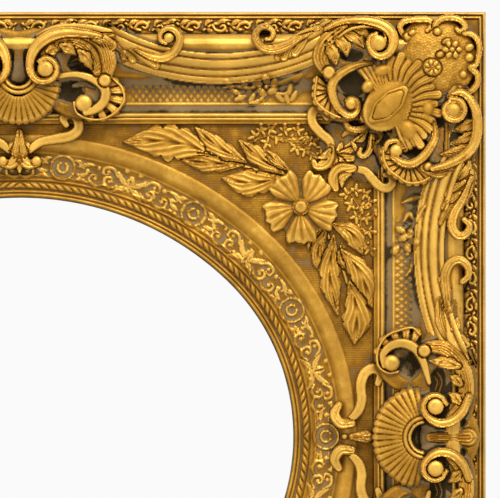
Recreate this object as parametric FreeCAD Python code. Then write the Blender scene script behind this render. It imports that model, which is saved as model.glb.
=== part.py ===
import FreeCAD
import Part
import math
import os

# A rectangular gilded picture frame with an oval opening. Four mitred rails carry swept reeds,
# vines, corner and centre cartouches. A board with an oval moulding sits in their rebate.
# Everything is drawn face up: x along the width, y up the height, z out of the wall, with the
# rails' backs at z = 0. settle() stands the finished piece up, front towards -Y, before export.

# The oval opening, and the board that shows between its moulding and the rails
opening_height = 508.0
opening_shape_share = 291 / 254  # width of the opening, of its height
side_field = 16.7
top_field = 9.7
end_radius_share = 0.9055  # radius of the oval's end arcs, of half the opening's height

# Rail section, from the outer edge inwards
edge_height = 39.5
edge_fillet = 3.0
edge_groove = 1.0
edge_groove_depth = 1.6
edge_fillets = 2
frieze_width = 16.0
frieze_height = 36.5
frieze_rise = 3.0
crest_foot = 47.0
crest_width = 22.0
crest_height = 56.0
crest_back = 51.0
shoulder_width = 22.0
shoulder_height = 43.0
hollow_width = 29.0
hollow_sag = 3.2
flat_width = 9.5
flat_height = 27.0
astragal_width = 8.4
astragal_rise = 4.0
fillet_width = 4.4
rebate_depth = 22.0
rebate_width = 12.0

# Swept reeds
sweep_length = 196.0
sweep_radius = 262.0
sweep_tilt = 24.0  # degrees, how far the sweep's plane leans back
sweep_overlap = 8.0  # how far the innermost reed reaches over the hollow
reed_pitch = 10.5
reed_count = 3
reed_height = 58.5
reed_fall = 5.0
reed_groove = 3.0
reed_ridge_share = 0.4
sweep_facets = 4
sweep_play = 0.6  # how far the flat seat on a sweep clears the top of its reeds

# Board, oval moulding and rope
board_thickness = 14.0
board_clearance = 0.5
moulding_width = 68.0
moulding_clearance = 0.2
bevel_width = 4.5
bevel_height = 15.0
lip_width = 5.5
lip_rise = 3.2
rope_width = 6.5
rope_rise = 4.2

# Carved ornament: corner and centre cartouches
corner_span = 186.0
centre_span = 116.0
side_centre_span = 128.0
centre_depth = 158.0
ornament_root = 15.0
scroll_root = 45.0
scroll_top = 69.0
scroll_width = 12.0
curl_top = 61.0
curl_width = 9.0
strap_top = 35.0
strap_width = 10.0
hook_top = 66.5
hook_width = 10.0
ridge_rise = 5.0
eye_radius = 8.0
eye_drop = 3.0
eye_sides = 6
shell_top = 58.5
shell_radius = 62.0
shell_lobe = 5.0
shell_lobes = 8
shield_reach = 44.0
shield_rise = 8.5
centre_shell_long = 88.0
centre_shell_short = 56.0
fan_radius = 44.0
fan_groove_radius = 30.0
fan_rise = 9.0
fan_ribs = 7

# Applied vines and sprays
vine_clearance = 4.0
vine_wave = 3.4
vine_width = 5.0
vine_rise = 4.5
vine_pitch = 46.0
long_branch = 190.0
short_branch = 148.0
leaf_width = 27.0
leaf_rise = 8.0
stem_width = 6.0
stem_rise = 4.0
flower_radius = 38.0
flower_rise = 8.0
flower_petals = 5
button_rise = 3.0
flower_inset_x = 76.5
flower_inset_y = 87.5

# Fixings on the back
point_width = 9.0
point_length = 16.0
point_thickness = 0.8
point_grip = 6.0
point_spread_share = 0.5
turn_length = 38.0
turn_width = 12.0
turn_thickness = 1.5
turn_chamfer = 3.0
turn_gap = 0.3
turn_inset = 9.0
pin_width = 2.6
pin_clearance = 0.08
pin_head = 6.0
pin_head_rise = 1.2
pin_length = 14.0
strap_length = 44.0
strap_plate = 14.0
strap_thickness = 1.2
strap_eye_wall = 1.5
wire_radius = 1.5
wire_clearance = 0.1
ring_half_width = 11.0
ring_drop = 21.0
hanger_inset = 54.0
hanger_height_share = 0.55
pad_width = 18.0
pad_height = 7.0
pad_inset = 26.0
overrun = 5.0

# Places that follow from the sizes above
oval_short = opening_height / 2
oval_long = oval_short * opening_shape_share
frieze_start = edge_fillets * (edge_fillet + edge_groove)
crest_start = frieze_start + frieze_width
shoulder_start = crest_start + crest_width
hollow_start = shoulder_start + shoulder_width
flat_start = hollow_start + hollow_width
astragal_start = flat_start + flat_width
fillet_start = astragal_start + astragal_width
rail_width = fillet_start + fillet_width
half_width = oval_long + moulding_width + side_field + rail_width
half_height = oval_short + moulding_width + top_field + rail_width
rebate_start = rail_width - rebate_width
board_back = rebate_depth - board_thickness
eye_outer = wire_radius + wire_clearance + strap_eye_wall
pin_hole = pin_width * math.sqrt(0.5) + pin_clearance
back_reach = max(pad_height, 2 * eye_outer)
front_reach = scroll_top
origin = FreeCAD.Vector(0, 0, 0)
up = FreeCAD.Vector(0, 0, 1)
sideways = FreeCAD.Vector(1, 0, 0)


def vec(x, y, z=0.0):
    """A point of the drawing."""
    return FreeCAD.Vector(x, y, z)


def loop(points):
    """A closed polygon through the points."""
    return Part.makePolygon(list(points) + [points[0]])


def face_of(points):
    """A flat face inside a closed polygon."""
    return Part.Face(loop(points))


def closed(faces):
    """The solid inside flat faces that meet at their edges."""
    solid = Part.Solid(Part.Shell(faces))
    if solid.Volume < 0:
        solid.reverse()
    return solid


def settle(shape):
    """The piece stood up on its bottom edge, with the middle of the depth at y = 0."""
    stood = shape.copy()
    stood.rotate(origin, sideways, 90)
    stood.translate(vec(0, (front_reach - back_reach) / 2, half_height))
    return stood


def save(name, shape):
    """Writes one named piece."""
    settle(shape).exportStep(os.path.join("parts", name + ".step"))


def across(shape):
    """The piece's twin on the other side of the vertical centre line."""
    return shape.mirror(origin, sideways)


def below(shape):
    """The piece's twin on the other side of the horizontal centre line."""
    return shape.mirror(origin, vec(0, 1))


def quarter_turn(shape):
    """A piece of the top side turned to the right side."""
    turned = shape.copy()
    turned.rotate(origin, up, -90)
    return turned


def save_four(name, shape):
    """Writes a piece of the top right quarter and its three twins."""
    save(name + "_top_right", shape)
    save(name + "_top_left", across(shape))
    save(name + "_bottom_right", below(shape))
    save(name + "_bottom_left", below(across(shape)))


def arc_outside(ends, bends):
    """Corners of the polygon that just clears the outside of an arc, with one corner to each bend."""
    arc = Part.ArcOfCircle(*[vec(*end) for end in ends])
    step = (arc.LastParameter - arc.FirstParameter) / bends
    corners = [ends[0]]
    for i in range(bends):
        way = arc.value(arc.FirstParameter + (i + 0.5) * step) - arc.Center
        corner = arc.Center + way / math.cos(step / 2)
        corners.append((corner.x, corner.y))
    return corners + [ends[-1]]


# Rails
def edge_steps():
    """The square fillets and grooves along the outer edge, as (distance from the edge, height)."""
    places = []
    for i in range(edge_fillets):
        start = i * (edge_fillet + edge_groove)
        end = start + edge_fillet
        places += [(start, edge_height), (end, edge_height), (end, edge_height - edge_groove_depth)]
        places.append((end + edge_groove, edge_height - edge_groove_depth))
    return places


def crest_arc():
    """The rounded crest, as (distance from the outer edge, height)."""
    middle = (crest_start + crest_width / 2, crest_height)
    return [(crest_start, crest_foot), middle, (shoulder_start, crest_back)]


def hollow_arc():
    """The hollow, as (distance from the outer edge, height)."""
    middle = (hollow_start + hollow_width / 2, (shoulder_height + flat_height) / 2 - hollow_sag)
    return [(hollow_start, shoulder_height), middle, (flat_start, flat_height)]


def astragal_arc():
    """The astragal, as (distance from the outer edge, height)."""
    middle = (astragal_start + astragal_width / 2, flat_height + astragal_rise)
    return [(astragal_start, flat_height), middle, (fillet_start, flat_height)]


def rail_face(at):
    """The rail's section: at(distance from the outer edge, height) gives a point."""
    edge = edge_steps() + [(frieze_start, frieze_height), (crest_start, frieze_height + frieze_rise)]
    back = [(rail_width, flat_height), (rail_width, rebate_depth), (rebate_start, rebate_depth)]
    back += [(rebate_start, 0), (0, 0)]
    edges = []
    last = back[-1]
    for stretch in (edge, crest_arc(), hollow_arc(), astragal_arc(), back):
        if stretch[0] != last:
            edges.append(Part.LineSegment(at(*last), at(*stretch[0])))
        if stretch is edge or stretch is back:
            edges += [Part.LineSegment(at(*a), at(*b)) for a, b in zip(stretch, stretch[1:])]
        else:
            edges.append(Part.Arc(*[at(*place) for place in stretch]))
        last = stretch[-1]
    return Part.Face(Part.Wire([edge.toShape() for edge in edges]))


def seat_face(at):
    """A plain section that just clears the rail's mouldings, on which the carving is bedded."""
    places = [(-overrun, 0), (-overrun, edge_height), (frieze_start, edge_height)]
    places += [(frieze_start, frieze_height), (crest_start, frieze_height + frieze_rise)]
    bead_top = flat_height + astragal_rise
    places += arc_outside(crest_arc(), 2) + [hollow_arc()[0], hollow_arc()[-1]]
    places += [(astragal_start, flat_height), (astragal_start, bead_top)]
    places += [(rail_width, bead_top), (rail_width, 0)]
    return face_of([at(*place) for place in places])


def mitred(section, half_length, half_across):
    """A bar of the section along the top side of a frame of these half sizes, mitred at its ends."""
    bar = section(lambda d, h: vec(-half_length, half_across - d, h)).extrude(vec(2 * half_length, 0))
    wedges = []
    for side in (-1, 1):
        reach = rail_width + 2 * overrun
        corner = vec(side * (half_length + overrun), half_across + overrun, -overrun)
        inner = corner + vec(-side * reach, -reach)
        foot = corner + vec(0, -reach)
        wedges.append(face_of([corner, inner, foot]).extrude(vec(0, 0, crest_height + 2 * overrun)))
    return bar.cut(wedges)


def sweep_sides():
    """Distances of the innermost and the outermost reed's sides from the rail's outer edge."""
    inner = hollow_start + sweep_overlap
    return inner, inner - reed_count * reed_pitch


def sweep_axis(middle, half_across):
    """Centre and leaning axis of a sweep's arcs, and half its turn in degrees."""
    tilt = math.radians(sweep_tilt)
    pivot = vec(middle, half_across - sweep_sides()[0], flat_height)
    pivot += vec(0, math.cos(tilt), math.sin(tilt)) * sweep_radius
    axis = vec(0, -math.sin(tilt), math.cos(tilt))
    return pivot, axis, math.degrees(math.asin(sweep_length / 2 / sweep_radius))


def sweep(middle, half_across):
    """The reeds on one half of the top rail: they bow inwards in plan and climb at both ends."""
    pivot, axis, half_turn = sweep_axis(middle, half_across)
    inner, outer = sweep_sides()
    section = [(inner, flat_height), (outer, flat_height)]
    for i in range(reed_count):
        start = outer + i * reed_pitch
        top = reed_height - i * reed_fall
        section.append((start, top - reed_groove))
        section.append((start + reed_ridge_share * reed_pitch, top))
    section.append((inner, reed_height - reed_count * reed_fall))
    face = face_of([vec(middle, half_across - d, h) for d, h in section])
    face.rotate(pivot, axis, -half_turn)
    return face.revolve(pivot, axis, 2 * half_turn)


def sweep_seat(middle, half_across):
    """Flat faces that just clear the reeds of a sweep, on which the carving's ends are bedded."""
    pivot, axis, half_turn = sweep_axis(middle, half_across)
    inner, outer = sweep_sides()
    top = reed_height + reed_ridge_share * reed_fall + sweep_play
    section = [(inner, flat_height), (outer, flat_height), (outer, top)]
    section.append((inner, top - reed_count * reed_fall))
    step = half_turn / sweep_facets
    rings = []
    for i in range(-sweep_facets, sweep_facets + 1, 2):
        turn = FreeCAD.Rotation(axis, i * step)
        ring = []
        for d, h in section:
            arm = vec(middle, half_across - d, h) - pivot
            along = axis * arm.dot(axis)
            stretch = 1 / math.cos(math.radians(step)) if d == inner else 1
            ring.append(pivot + along + turn.multVec(arm - along) * stretch)
        rings.append(ring)
    faces = [face_of(rings[0]), face_of(rings[-1])]
    for near, far in zip(rings, rings[1:]):
        for i in range(len(section)):
            faces.append(face_of([near[i - 1], near[i], far[i], far[i - 1]]))
    return closed(faces)


# Board, oval moulding and rope
def oval_arcs(offset):
    """Centre, radius, start and sweep in degrees of the four arcs, offset outwards."""
    end_radius = end_radius_share * oval_short
    reach = oval_long - end_radius
    side_radius = oval_long**2 - 2 * oval_long * end_radius + oval_short**2
    side_radius /= 2 * (oval_short - end_radius)
    drop = side_radius - oval_short
    turn = math.degrees(math.atan2(drop, reach))
    ends = end_radius + offset
    sides = side_radius + offset
    return [
        (vec(reach, 0), ends, -turn, 2 * turn),
        (vec(0, -drop), sides, turn, 180 - 2 * turn),
        (vec(-reach, 0), ends, 180 - turn, 2 * turn),
        (vec(0, drop), sides, 180 + turn, 180 - 2 * turn),
    ]


def oval_ring(section):
    """A ring round the opening: section holds (offset from the opening, height) points."""
    parts = []
    for centre, radius, start, turn in oval_arcs(0):
        face = face_of([centre + vec(radius + offset, 0, height) for offset, height in section])
        face.rotate(centre, up, start)
        parts.append(face.revolve(centre, up, turn))
    return parts[0].fuse(parts[1:]).removeSplitter()


def oval_block(offset, low, high):
    """A solid block with the oval's outline."""
    edges = []
    for centre, radius, start, turn in oval_arcs(offset):
        circle = Part.Circle(centre + vec(0, 0, low), up, radius)
        edges.append(Part.ArcOfCircle(circle, math.radians(start), math.radians(start + turn)).toShape())
    return Part.Face(Part.Wire(Part.__sortEdges__(edges))).extrude(vec(0, 0, high - low))


def make_board():
    """The board behind the sight edge, cut out for the oval moulding."""
    long = half_width - rebate_start - board_clearance
    short = half_height - rebate_start - board_clearance
    board = Part.makeBox(2 * long, 2 * short, board_thickness, vec(-long, -short, board_back))
    hole = oval_block(moulding_width + moulding_clearance, board_back - overrun, rebate_depth + overrun)
    return board.cut(hole)


def make_moulding():
    """The turned oval moulding: sight bevel, bead, rope bead and the sloping band outside them."""
    lip_end = bevel_width + lip_width
    rope_end = lip_end + rope_width
    section = [(0, board_back), (bevel_width, bevel_height + lip_rise), (lip_end, bevel_height)]
    section.append((lip_end + rope_width / 2, bevel_height + rope_rise))
    section += [(rope_end, bevel_height), (moulding_width, rebate_depth), (moulding_width, board_back)]
    return oval_ring(section)


# Carved ornament
taper_share = 0.3


def taper(share, ends):
    """The share of a scroll's width at a share of its length, given the shares at both ends."""
    near = max(0, 1 - share / taper_share)
    far = max(0, 1 - (1 - share) / taper_share)
    return 1 + (ends[0] - 1) * near + (ends[1] - 1) * far


def scroll_lines(points, width, ends, steps):
    """Left side, middle and right side of a scroll along a smooth line through the points."""
    curve = Part.BSplineCurve()
    curve.interpolate([vec(*point) for point in points])
    first, last = curve.FirstParameter, curve.LastParameter
    count = steps * (len(points) - 1)
    left, middle, right = [], [], []
    for i in range(count + 1):
        at = first + (last - first) * i / count
        along = curve.tangent(at)[0]
        reach = vec(-along.y, along.x) * (width / 2 * taper(i / count, ends))
        middle.append(curve.value(at))
        left.append(middle[-1] + reach)
        right.append(middle[-1] - reach)
    return left, middle, right


def flat_scroll(points, width, top, ends, steps=1, low=ornament_root):
    """A scroll with upright sides and a flat top."""
    left, _, right = scroll_lines(points, width, ends, steps)
    return block([(p.x, p.y) for p in left + right[::-1]], low, top)


def ridged_scroll(points, width, top, ends, steps=1):
    """A scroll whose top rises to a ridge along its middle."""
    left, middle, right = scroll_lines(points, width, ends, steps)
    low = vec(0, 0, scroll_root)
    eaves = vec(0, 0, top - ridge_rise)
    ridge = vec(0, 0, top)
    faces = []
    for side in (left, right):
        for i in range(len(middle) - 1):
            a, b, c, d = side[i], side[i + 1], middle[i], middle[i + 1]
            faces.append(face_of([a + low, b + low, b + eaves, a + eaves]))
            faces.append(face_of([a + eaves, b + eaves, d + ridge]))
            faces.append(face_of([a + eaves, d + ridge, c + ridge]))
    for i in (0, -1):
        a, b = left[i], right[i]
        faces.append(face_of([a + low, b + low, b + eaves, middle[i] + ridge, a + eaves]))
    faces.append(face_of([point + low for point in left + right[::-1]]))
    return closed(faces)


def block(points, low, top):
    """An upright block of the given outline."""
    return face_of([vec(x, y, low) for x, y in points]).extrude(vec(0, 0, top - low))


def peak(outline, apex, low):
    """A form with a flat base that rises to one point."""
    base = [vec(x, y, low) for x, y in outline]
    faces = [face_of(base)]
    faces += [face_of([a, b, apex]) for a, b in zip(base, base[1:] + base[:1])]
    return closed(faces)


def ring_of(x, y, count, reach):
    """Points round x, y: reach(i) gives the distance of each."""
    turns = [2 * math.pi * i / count for i in range(count)]
    return [(x + reach(i) * math.cos(turn), y + reach(i) * math.sin(turn)) for i, turn in enumerate(turns)]


def joined(pieces):
    """Overlapping forms fused into one casting."""
    return pieces[0].fuse(pieces[1:]).removeSplitter()


def make_shell(place, long, short):
    """The lobed shell in the middle of a cartouche."""
    outline = []
    for i in range(2 * shell_lobes):
        turn = math.pi * i / shell_lobes
        lobe = shell_lobe * (-1) ** i
        x = place[0] + (long + lobe) * math.sin(turn)
        outline.append((x, place[1] - (short + lobe) * math.cos(turn)))
    return block(outline, ornament_root, shell_top)


def make_eye(place):
    """The round eye of a volute."""
    outline = ring_of(place[0], place[1], eye_sides, lambda i: eye_radius)
    return block(outline, scroll_root, scroll_top - eye_drop)


# Places on the corner, in shares of its span in from the right and the top edge
corner_scroll_shares = [(0.60, 0.25), (0.53, 0.15), (0.65, 0.08), (0.82, 0.10), (0.94, 0.20), (0.97, 0.32)]
corner_eye_shares = [(0.61, 0.175), (0.21, 0.21)]
corner_curl_shares = [(0.66, 0.29), (0.82, 0.33), (0.87, 0.45), (0.76, 0.53)]
corner_strap_shares = [(0.74, 0.52), (0.94, 0.54), (0.98, 0.62), (0.90, 0.73), (0.94, 0.86)]
corner_hook_shares = [(0.92, 0.20), (1.12, 0.27), (1.27, 0.19)]
shell_place_share = 0.48
shield_place_share = 0.52
shield_shares = [(-0.66, -0.66), (-0.42, 0.05), (0.1, 0.42), (0.6, 0.6), (0.42, 0.1), (0.05, -0.42)]
scroll_ends_share = (0.8, 0.35)
curl_ends_share = (0.4, 1.2)
strap_ends_share = (1.2, 0.6)
hook_ends_share = (0.5, 0.9)


def corner_point(shares):
    """A place on the corner ornament."""
    return half_width - shares[0] * corner_span, half_height - shares[1] * corner_span


def make_corner():
    """One corner cartouche: a lobed shell with a shield, framed by paired scrolls and straps."""
    pieces = [make_shell(corner_point((shell_place_share, shell_place_share)), shell_radius, shell_radius)]
    x, y = corner_point((shield_place_share, shield_place_share))
    shield = [(x + a * shield_reach, y + b * shield_reach) for a, b in shield_shares]
    pieces.append(peak(shield, vec(x, y, shell_top + shield_rise), shell_top))
    for flip in (1, -1):
        scroll, curl, strap, hook = [
            [corner_point(s[::flip]) for s in shares]
            for shares in (corner_scroll_shares, corner_curl_shares, corner_strap_shares, corner_hook_shares)
        ]
        pieces.append(ridged_scroll(scroll, scroll_width, scroll_top, scroll_ends_share))
        pieces.append(flat_scroll(curl, curl_width, curl_top, curl_ends_share))
        pieces.append(flat_scroll(strap, strap_width, strap_top, strap_ends_share))
        pieces.append(flat_scroll(hook, hook_width, hook_top, hook_ends_share, 1, scroll_root))
    eyes = [corner_eye_shares[0], corner_eye_shares[0][::-1], corner_eye_shares[1]]
    pieces += [make_eye(corner_point(s)) for s in eyes]
    return joined(pieces)


# Places on a centre ornament, in shares of its span along the side and of its depth inwards
centre_scroll_shares = [(0.27, 0.46), (0.13, 0.33), (0.28, 0.18), (0.60, 0.14), (0.88, 0.24), (0.84, 0.43)]
centre_eye_share = (0.26, 0.36)
centre_curl_shares = [(0.42, 0.44), (0.68, 0.45), (0.80, 0.57), (0.64, 0.67)]
centre_strap_shares = [(0.40, 0.70), (0.52, 0.78), (0.22, 0.86), (0.09, 0.93), (0.16, 0.99)]
centre_hook_shares = [(0.86, 0.21), (1.16, 0.33), (1.37, 0.22)]
centre_shell_share = (0, 0.50)
fan_place_share = (0, 0.46)


def make_centre(span, half_across):
    """A top centre cartouche: a shell with a ribbed fan, framed by paired scrolls and straps."""
    def place(shares, side=1):
        return side * shares[0] * span, half_across - shares[1] * centre_depth

    pieces = [make_shell(place(centre_shell_share), centre_shell_long, centre_shell_short)]
    x, y = place(fan_place_share)
    rim = ring_of(x, y, 2 * fan_ribs, lambda i: fan_groove_radius if i % 2 else fan_radius)
    pieces.append(peak(rim, vec(x, y, shell_top + fan_rise), shell_top))
    for side in (1, -1):
        scroll, curl, strap, hook = [
            [place(s, side) for s in shares]
            for shares in (centre_scroll_shares, centre_curl_shares, centre_strap_shares, centre_hook_shares)
        ]
        pieces.append(ridged_scroll(scroll, scroll_width, scroll_top, scroll_ends_share))
        pieces.append(flat_scroll(curl, curl_width, curl_top, curl_ends_share))
        pieces.append(flat_scroll(strap, strap_width, strap_top, strap_ends_share))
        pieces.append(flat_scroll(hook, hook_width, hook_top, hook_ends_share, 1, scroll_root))
        pieces.append(make_eye(place(centre_eye_share, side)))
    return joined(pieces)


vine_ends_share = (0.5, 0.5)


def make_vine(start, end, half_across):
    """A waving vine along the frieze of the top rail between two places."""
    middle = half_across - frieze_start - frieze_width / 2
    waves = 2 * round((end - start) / vine_pitch / 2)
    step = (end - start) / waves
    points = [(start + i * step, middle + vine_wave * (-1) ** i) for i in range(waves + 1)]
    return flat_scroll(points, vine_width, frieze_height + frieze_rise + vine_rise, vine_ends_share, 2)


# The spray's leaves: root and tip of each in shares of its branch, along the branch and towards
# the frame's corner, and the share of the full width
leaf_shares = [(0.40, 0.25, 1.00, 0.37, 1.0), (0.26, 0.18, 0.60, 0.45, 0.8), (0.06, 0.10, 0.44, 0.15, 0.9)]
leaf_outline_shares = [(0.0, 0.1), (0.4, 0.5), (1.0, 0.0), (0.4, -0.5), (0.0, -0.1)]
leaf_apex_share = 0.4
stem_shares = [(0.08, 0.08), (0.30, 0.20), (0.60, 0.29)]
stem_ends_share = (1, 0.5)
petal_waist_share = 0.62


def make_leaf(root, tip, width):
    """A ridged leaf lying on the board between two places."""
    ahead = tip - root
    aside = vec(-ahead.y, ahead.x).normalize() * width
    outline = [root + ahead * a + aside * b for a, b in leaf_outline_shares]
    apex = root + ahead * leaf_apex_share + vec(0, 0, rebate_depth + leaf_rise)
    return peak([(p.x, p.y) for p in outline], apex, rebate_depth)


def make_spray():
    """The flower on the board's corner with a leafy branch to each side."""
    flower = vec(half_width - rail_width - flower_inset_x, half_height - rail_width - flower_inset_y)
    waist = petal_waist_share * flower_radius
    rim = ring_of(flower.x, flower.y, 2 * flower_petals, lambda i: waist if i % 2 else flower_radius)
    flower_top = rebate_depth + flower_rise
    pieces = [block(rim, rebate_depth, flower_top)]
    button = ring_of(flower.x, flower.y, eye_sides, lambda i: eye_radius)
    pieces.append(block(button, flower_top, flower_top + button_rise))
    branches = [(vec(-long_branch, 0), vec(0, long_branch)), (vec(0, -short_branch), vec(short_branch, 0))]
    for ahead, aside in branches:
        stem = [flower + ahead * a + aside * b for a, b in stem_shares]
        places = [(p.x, p.y) for p in stem]
        top = rebate_depth + stem_rise
        pieces.append(flat_scroll(places, stem_width, top, stem_ends_share, 1, rebate_depth))
        for a, b, c, d, size in leaf_shares:
            root = flower + ahead * a + aside * b
            pieces.append(make_leaf(root, flower + ahead * c + aside * d, leaf_width * size))
    return joined(pieces)


# Fixings
def square(x, y, width, low, top):
    """An upright square bar round x, y."""
    return Part.makeBox(width, width, top - low, vec(x - width / 2, y - width / 2, low))


def make_pin(x, y):
    """A square cut nail on which a turn button pivots, its head clear of the button."""
    stand = turn_thickness + 2 * turn_gap
    head = square(x, y, pin_head, -stand - pin_head_rise, -stand)
    return square(x, y, pin_width, -stand, pin_length).fuse(head)


def make_turn(x, y, angle):
    """A turn button: a flat brass strip with clipped corners and one hole, turned to angle."""
    half = turn_width / 2
    end = turn_length - half
    clip = turn_chamfer
    outline = [(clip - half, -half), (end - clip, -half), (end, clip - half), (end, half - clip)]
    outline += [(end - clip, half), (clip - half, half), (-half, half - clip), (-half, clip - half)]
    low = -turn_gap - turn_thickness
    strip = block(outline, low, -turn_gap)
    strip = strip.cut(Part.makeCylinder(pin_hole, turn_thickness + 2 * overrun, vec(0, 0, low - overrun)))
    strip.rotate(origin, up, angle)
    strip.translate(vec(x, y))
    return strip


def turn_places():
    """Name, x, y and resting angle of each turn button."""
    row_x = half_width - rebate_start + turn_inset
    row_y = half_height - rebate_start + turn_inset
    upright = [("top", 0, row_y, -90), ("bottom", 0, -row_y, 90)]
    return upright + [("right", row_x, 0, 180), ("left", -row_x, 0, 0)]


def make_points():
    """Flat points driven into the rebate wall behind the board, which hold it in the frame."""
    wide = point_width / 2
    out = point_length - point_grip
    outline = [(point_grip, 0), (0, wide), (-out, 0), (0, -wide)]
    point = block(outline, board_back - point_thickness, board_back)
    points = []
    for side in (-1, 1):
        for wall, run, turn in ((half_width, half_height, 0), (half_height, half_width, 90)):
            for end in (-1, 1):
                placed = point.copy()
                placed.translate(vec(wall - rebate_start, end * point_spread_share * run))
                placed.rotate(origin, up, turn + 90 * (1 - side))
                points.append(placed)
    return points


def make_hanger():
    """Strap and ring on the right rail. The ring hangs down from the strap's eye."""
    x = half_width - hanger_inset
    y = hanger_height_share * half_height
    wide = strap_plate / 2
    bore = wire_radius + wire_clearance
    foot = vec(x - wide, y - strap_length, -strap_thickness)
    strap = Part.makeBox(strap_plate, strap_length, strap_thickness, foot)
    eye = vec(x - wide, y - eye_outer, -2 * eye_outer)
    strap = strap.fuse(Part.makeBox(strap_plate, 2 * eye_outer, 2 * eye_outer, eye))
    through = strap_plate + 2 * overrun
    strap = strap.cut(Part.makeCylinder(bore, through, vec(x - wide - overrun, y, -eye_outer), sideways))
    middle = vec(x, y, -eye_outer)
    ends = [middle + vec(ring_half_width, 0), middle - vec(0, ring_drop), middle - vec(ring_half_width, 0)]
    profile = Part.Wire(Part.makeCircle(wire_radius, middle, sideways))
    ring = loop([middle] + ends).makePipeShell([profile], True, False, 1)
    return strap, ring


def make_pad(side):
    """A felt pad that keeps one lower corner off the wall."""
    return square(side * (half_width - pad_inset), pad_inset - half_height, pad_width, -pad_height, 0)


def both(piece):
    """The piece and its twin across the vertical centre line."""
    return [piece, across(piece)]


def make_rails(driven, top_sweep, side_sweep):
    """The four rails with their sweeps, and slots for what is driven into them."""
    top = mitred(rail_face, half_width, half_height).fuse(both(top_sweep)).removeSplitter()
    side = mitred(rail_face, half_height, half_width).fuse(both(side_sweep)).removeSplitter()
    side = quarter_turn(side)
    return {
        "rail_top": top.cut(driven),
        "rail_bottom": below(top).cut(driven),
        "rail_right": side.cut(driven),
        "rail_left": across(side).cut(driven),
    }


def make_seat():
    """Everything that the carving is bedded on: plain rails and the board's front."""
    slab_x = half_width - rail_width + overrun
    slab_y = half_height - rail_width + overrun
    slab = Part.makeBox(2 * slab_x, 2 * slab_y, rebate_depth, vec(-slab_x, -slab_y))
    sides = quarter_turn(mitred(seat_face, half_height, half_width))
    return mitred(seat_face, half_width, half_height).fuse([sides, slab])


def main():
    """Builds every piece and writes it."""
    os.makedirs("parts", exist_ok=True)
    top_middle = (centre_span + half_width - corner_span) / 2
    side_middle = (side_centre_span + half_height - corner_span) / 2
    top_sweep = sweep(top_middle, half_height)
    side_sweep = sweep(side_middle, half_width)
    points = make_points()
    pins = [make_pin(x, y) for _, x, y, _ in turn_places()]
    for name, rail in make_rails(points + pins, top_sweep, side_sweep).items():
        save(name, rail)
    save("spandrel_board", make_board())
    save("oval_moulding", make_moulding())

    seat = make_seat()
    top_bed = sweep_seat(top_middle, half_height)
    side_bed = quarter_turn(across(sweep_seat(side_middle, half_width)))
    save_four("corner_ornament", make_corner().cut([seat, top_bed, side_bed]))
    top_centre = make_centre(centre_span, half_height).cut([seat] + both(top_bed))
    save("centre_ornament_top", top_centre)
    save("centre_ornament_bottom", below(top_centre))
    right_centre = quarter_turn(make_centre(side_centre_span, half_width))
    right_centre = right_centre.cut([seat, side_bed, below(side_bed)])
    save("centre_ornament_right", right_centre)
    save("centre_ornament_left", across(right_centre))
    corner_edge = corner_span + vine_clearance
    long_vine = make_vine(centre_span + vine_clearance, half_width - corner_edge, half_height)
    short_vine = across(make_vine(side_centre_span + vine_clearance, half_height - corner_edge, half_width))
    save_four("vine_long", long_vine.cut(seat))
    save_four("vine_short", quarter_turn(short_vine).cut(seat))
    save_four("spray", make_spray())

    for name, x, y, angle in turn_places():
        save("turn_button_" + name, make_turn(x, y, angle))
    save("turn_button_pins", Part.makeCompound(pins))
    save("board_points", Part.makeCompound(points))
    strap, ring = make_hanger()
    save("hanger_straps", Part.makeCompound(both(strap)))
    save("hanger_ring_right", ring)
    save("hanger_ring_left", across(ring))
    save("wall_pad_right", make_pad(1))
    save("wall_pad_left", make_pad(-1))


main()
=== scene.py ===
"""The looks of a rectangular gilded picture frame with an oval opening.

The carving is modelled as relief: strokes, domes and shells are laid on fine grids, the way a
carver draws them on the blank, and each grid is trimmed, walled and closed with mesh operators.
"""

import logging
import math
from dataclasses import dataclass, field
from enum import Enum

import bpy
import numpy as np
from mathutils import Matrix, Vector


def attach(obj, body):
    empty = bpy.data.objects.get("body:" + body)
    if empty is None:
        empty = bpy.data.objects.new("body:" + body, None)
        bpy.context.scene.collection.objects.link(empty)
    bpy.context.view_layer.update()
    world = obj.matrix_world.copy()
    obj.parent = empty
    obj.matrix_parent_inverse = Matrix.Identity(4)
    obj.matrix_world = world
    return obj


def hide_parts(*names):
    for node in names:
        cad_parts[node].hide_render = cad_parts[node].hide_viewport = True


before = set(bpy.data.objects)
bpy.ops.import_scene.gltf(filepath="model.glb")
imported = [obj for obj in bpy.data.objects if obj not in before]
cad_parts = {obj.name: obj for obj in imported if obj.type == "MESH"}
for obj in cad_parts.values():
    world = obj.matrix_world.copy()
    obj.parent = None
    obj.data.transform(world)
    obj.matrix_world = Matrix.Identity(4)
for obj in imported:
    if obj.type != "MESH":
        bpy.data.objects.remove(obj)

logging.basicConfig(level=logging.INFO, format="%(message)s")
log = logging.getLogger("frame")

# The drawing's unit is one point of the photograph, and its middle is the middle of the frame
MM_PER_UNIT = 1.06
DRAW_X = 18.9
DRAW_Y = 437.5

# The frame in millimetres
HALF_W = 495.0
HALF_H = 451.0
BACK_Y = 31.0
RAIL_W = 119.3
MOULDING_W = 68.0
BOARD_FACE = 22.0
FRONT_MOST = 68.9
BODY = "frame"

# The opening's four arcs, and the direction in which two of them meet
END_X, END_RADIUS = 61.0, 230.0
SIDE_V, SIDE_RADIUS = -65.5, 319.5
MEET = math.radians(47.05)

# The swept reeds are arcs round a place outside the rail
SWEEP_CENTRE = 186.0
SWEEP_INNER, SWEEP_OUTER = 230.2, 262.4
SWEEP_REACH = 120.0
REEDS = [(233.4, 3.1, 2.6), (242.2, 5.2, 3.2), (251.3, 3.7, 2.6), (257.9, 2.8, 2.4), (261.5, 0.9, 1.4)]

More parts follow.
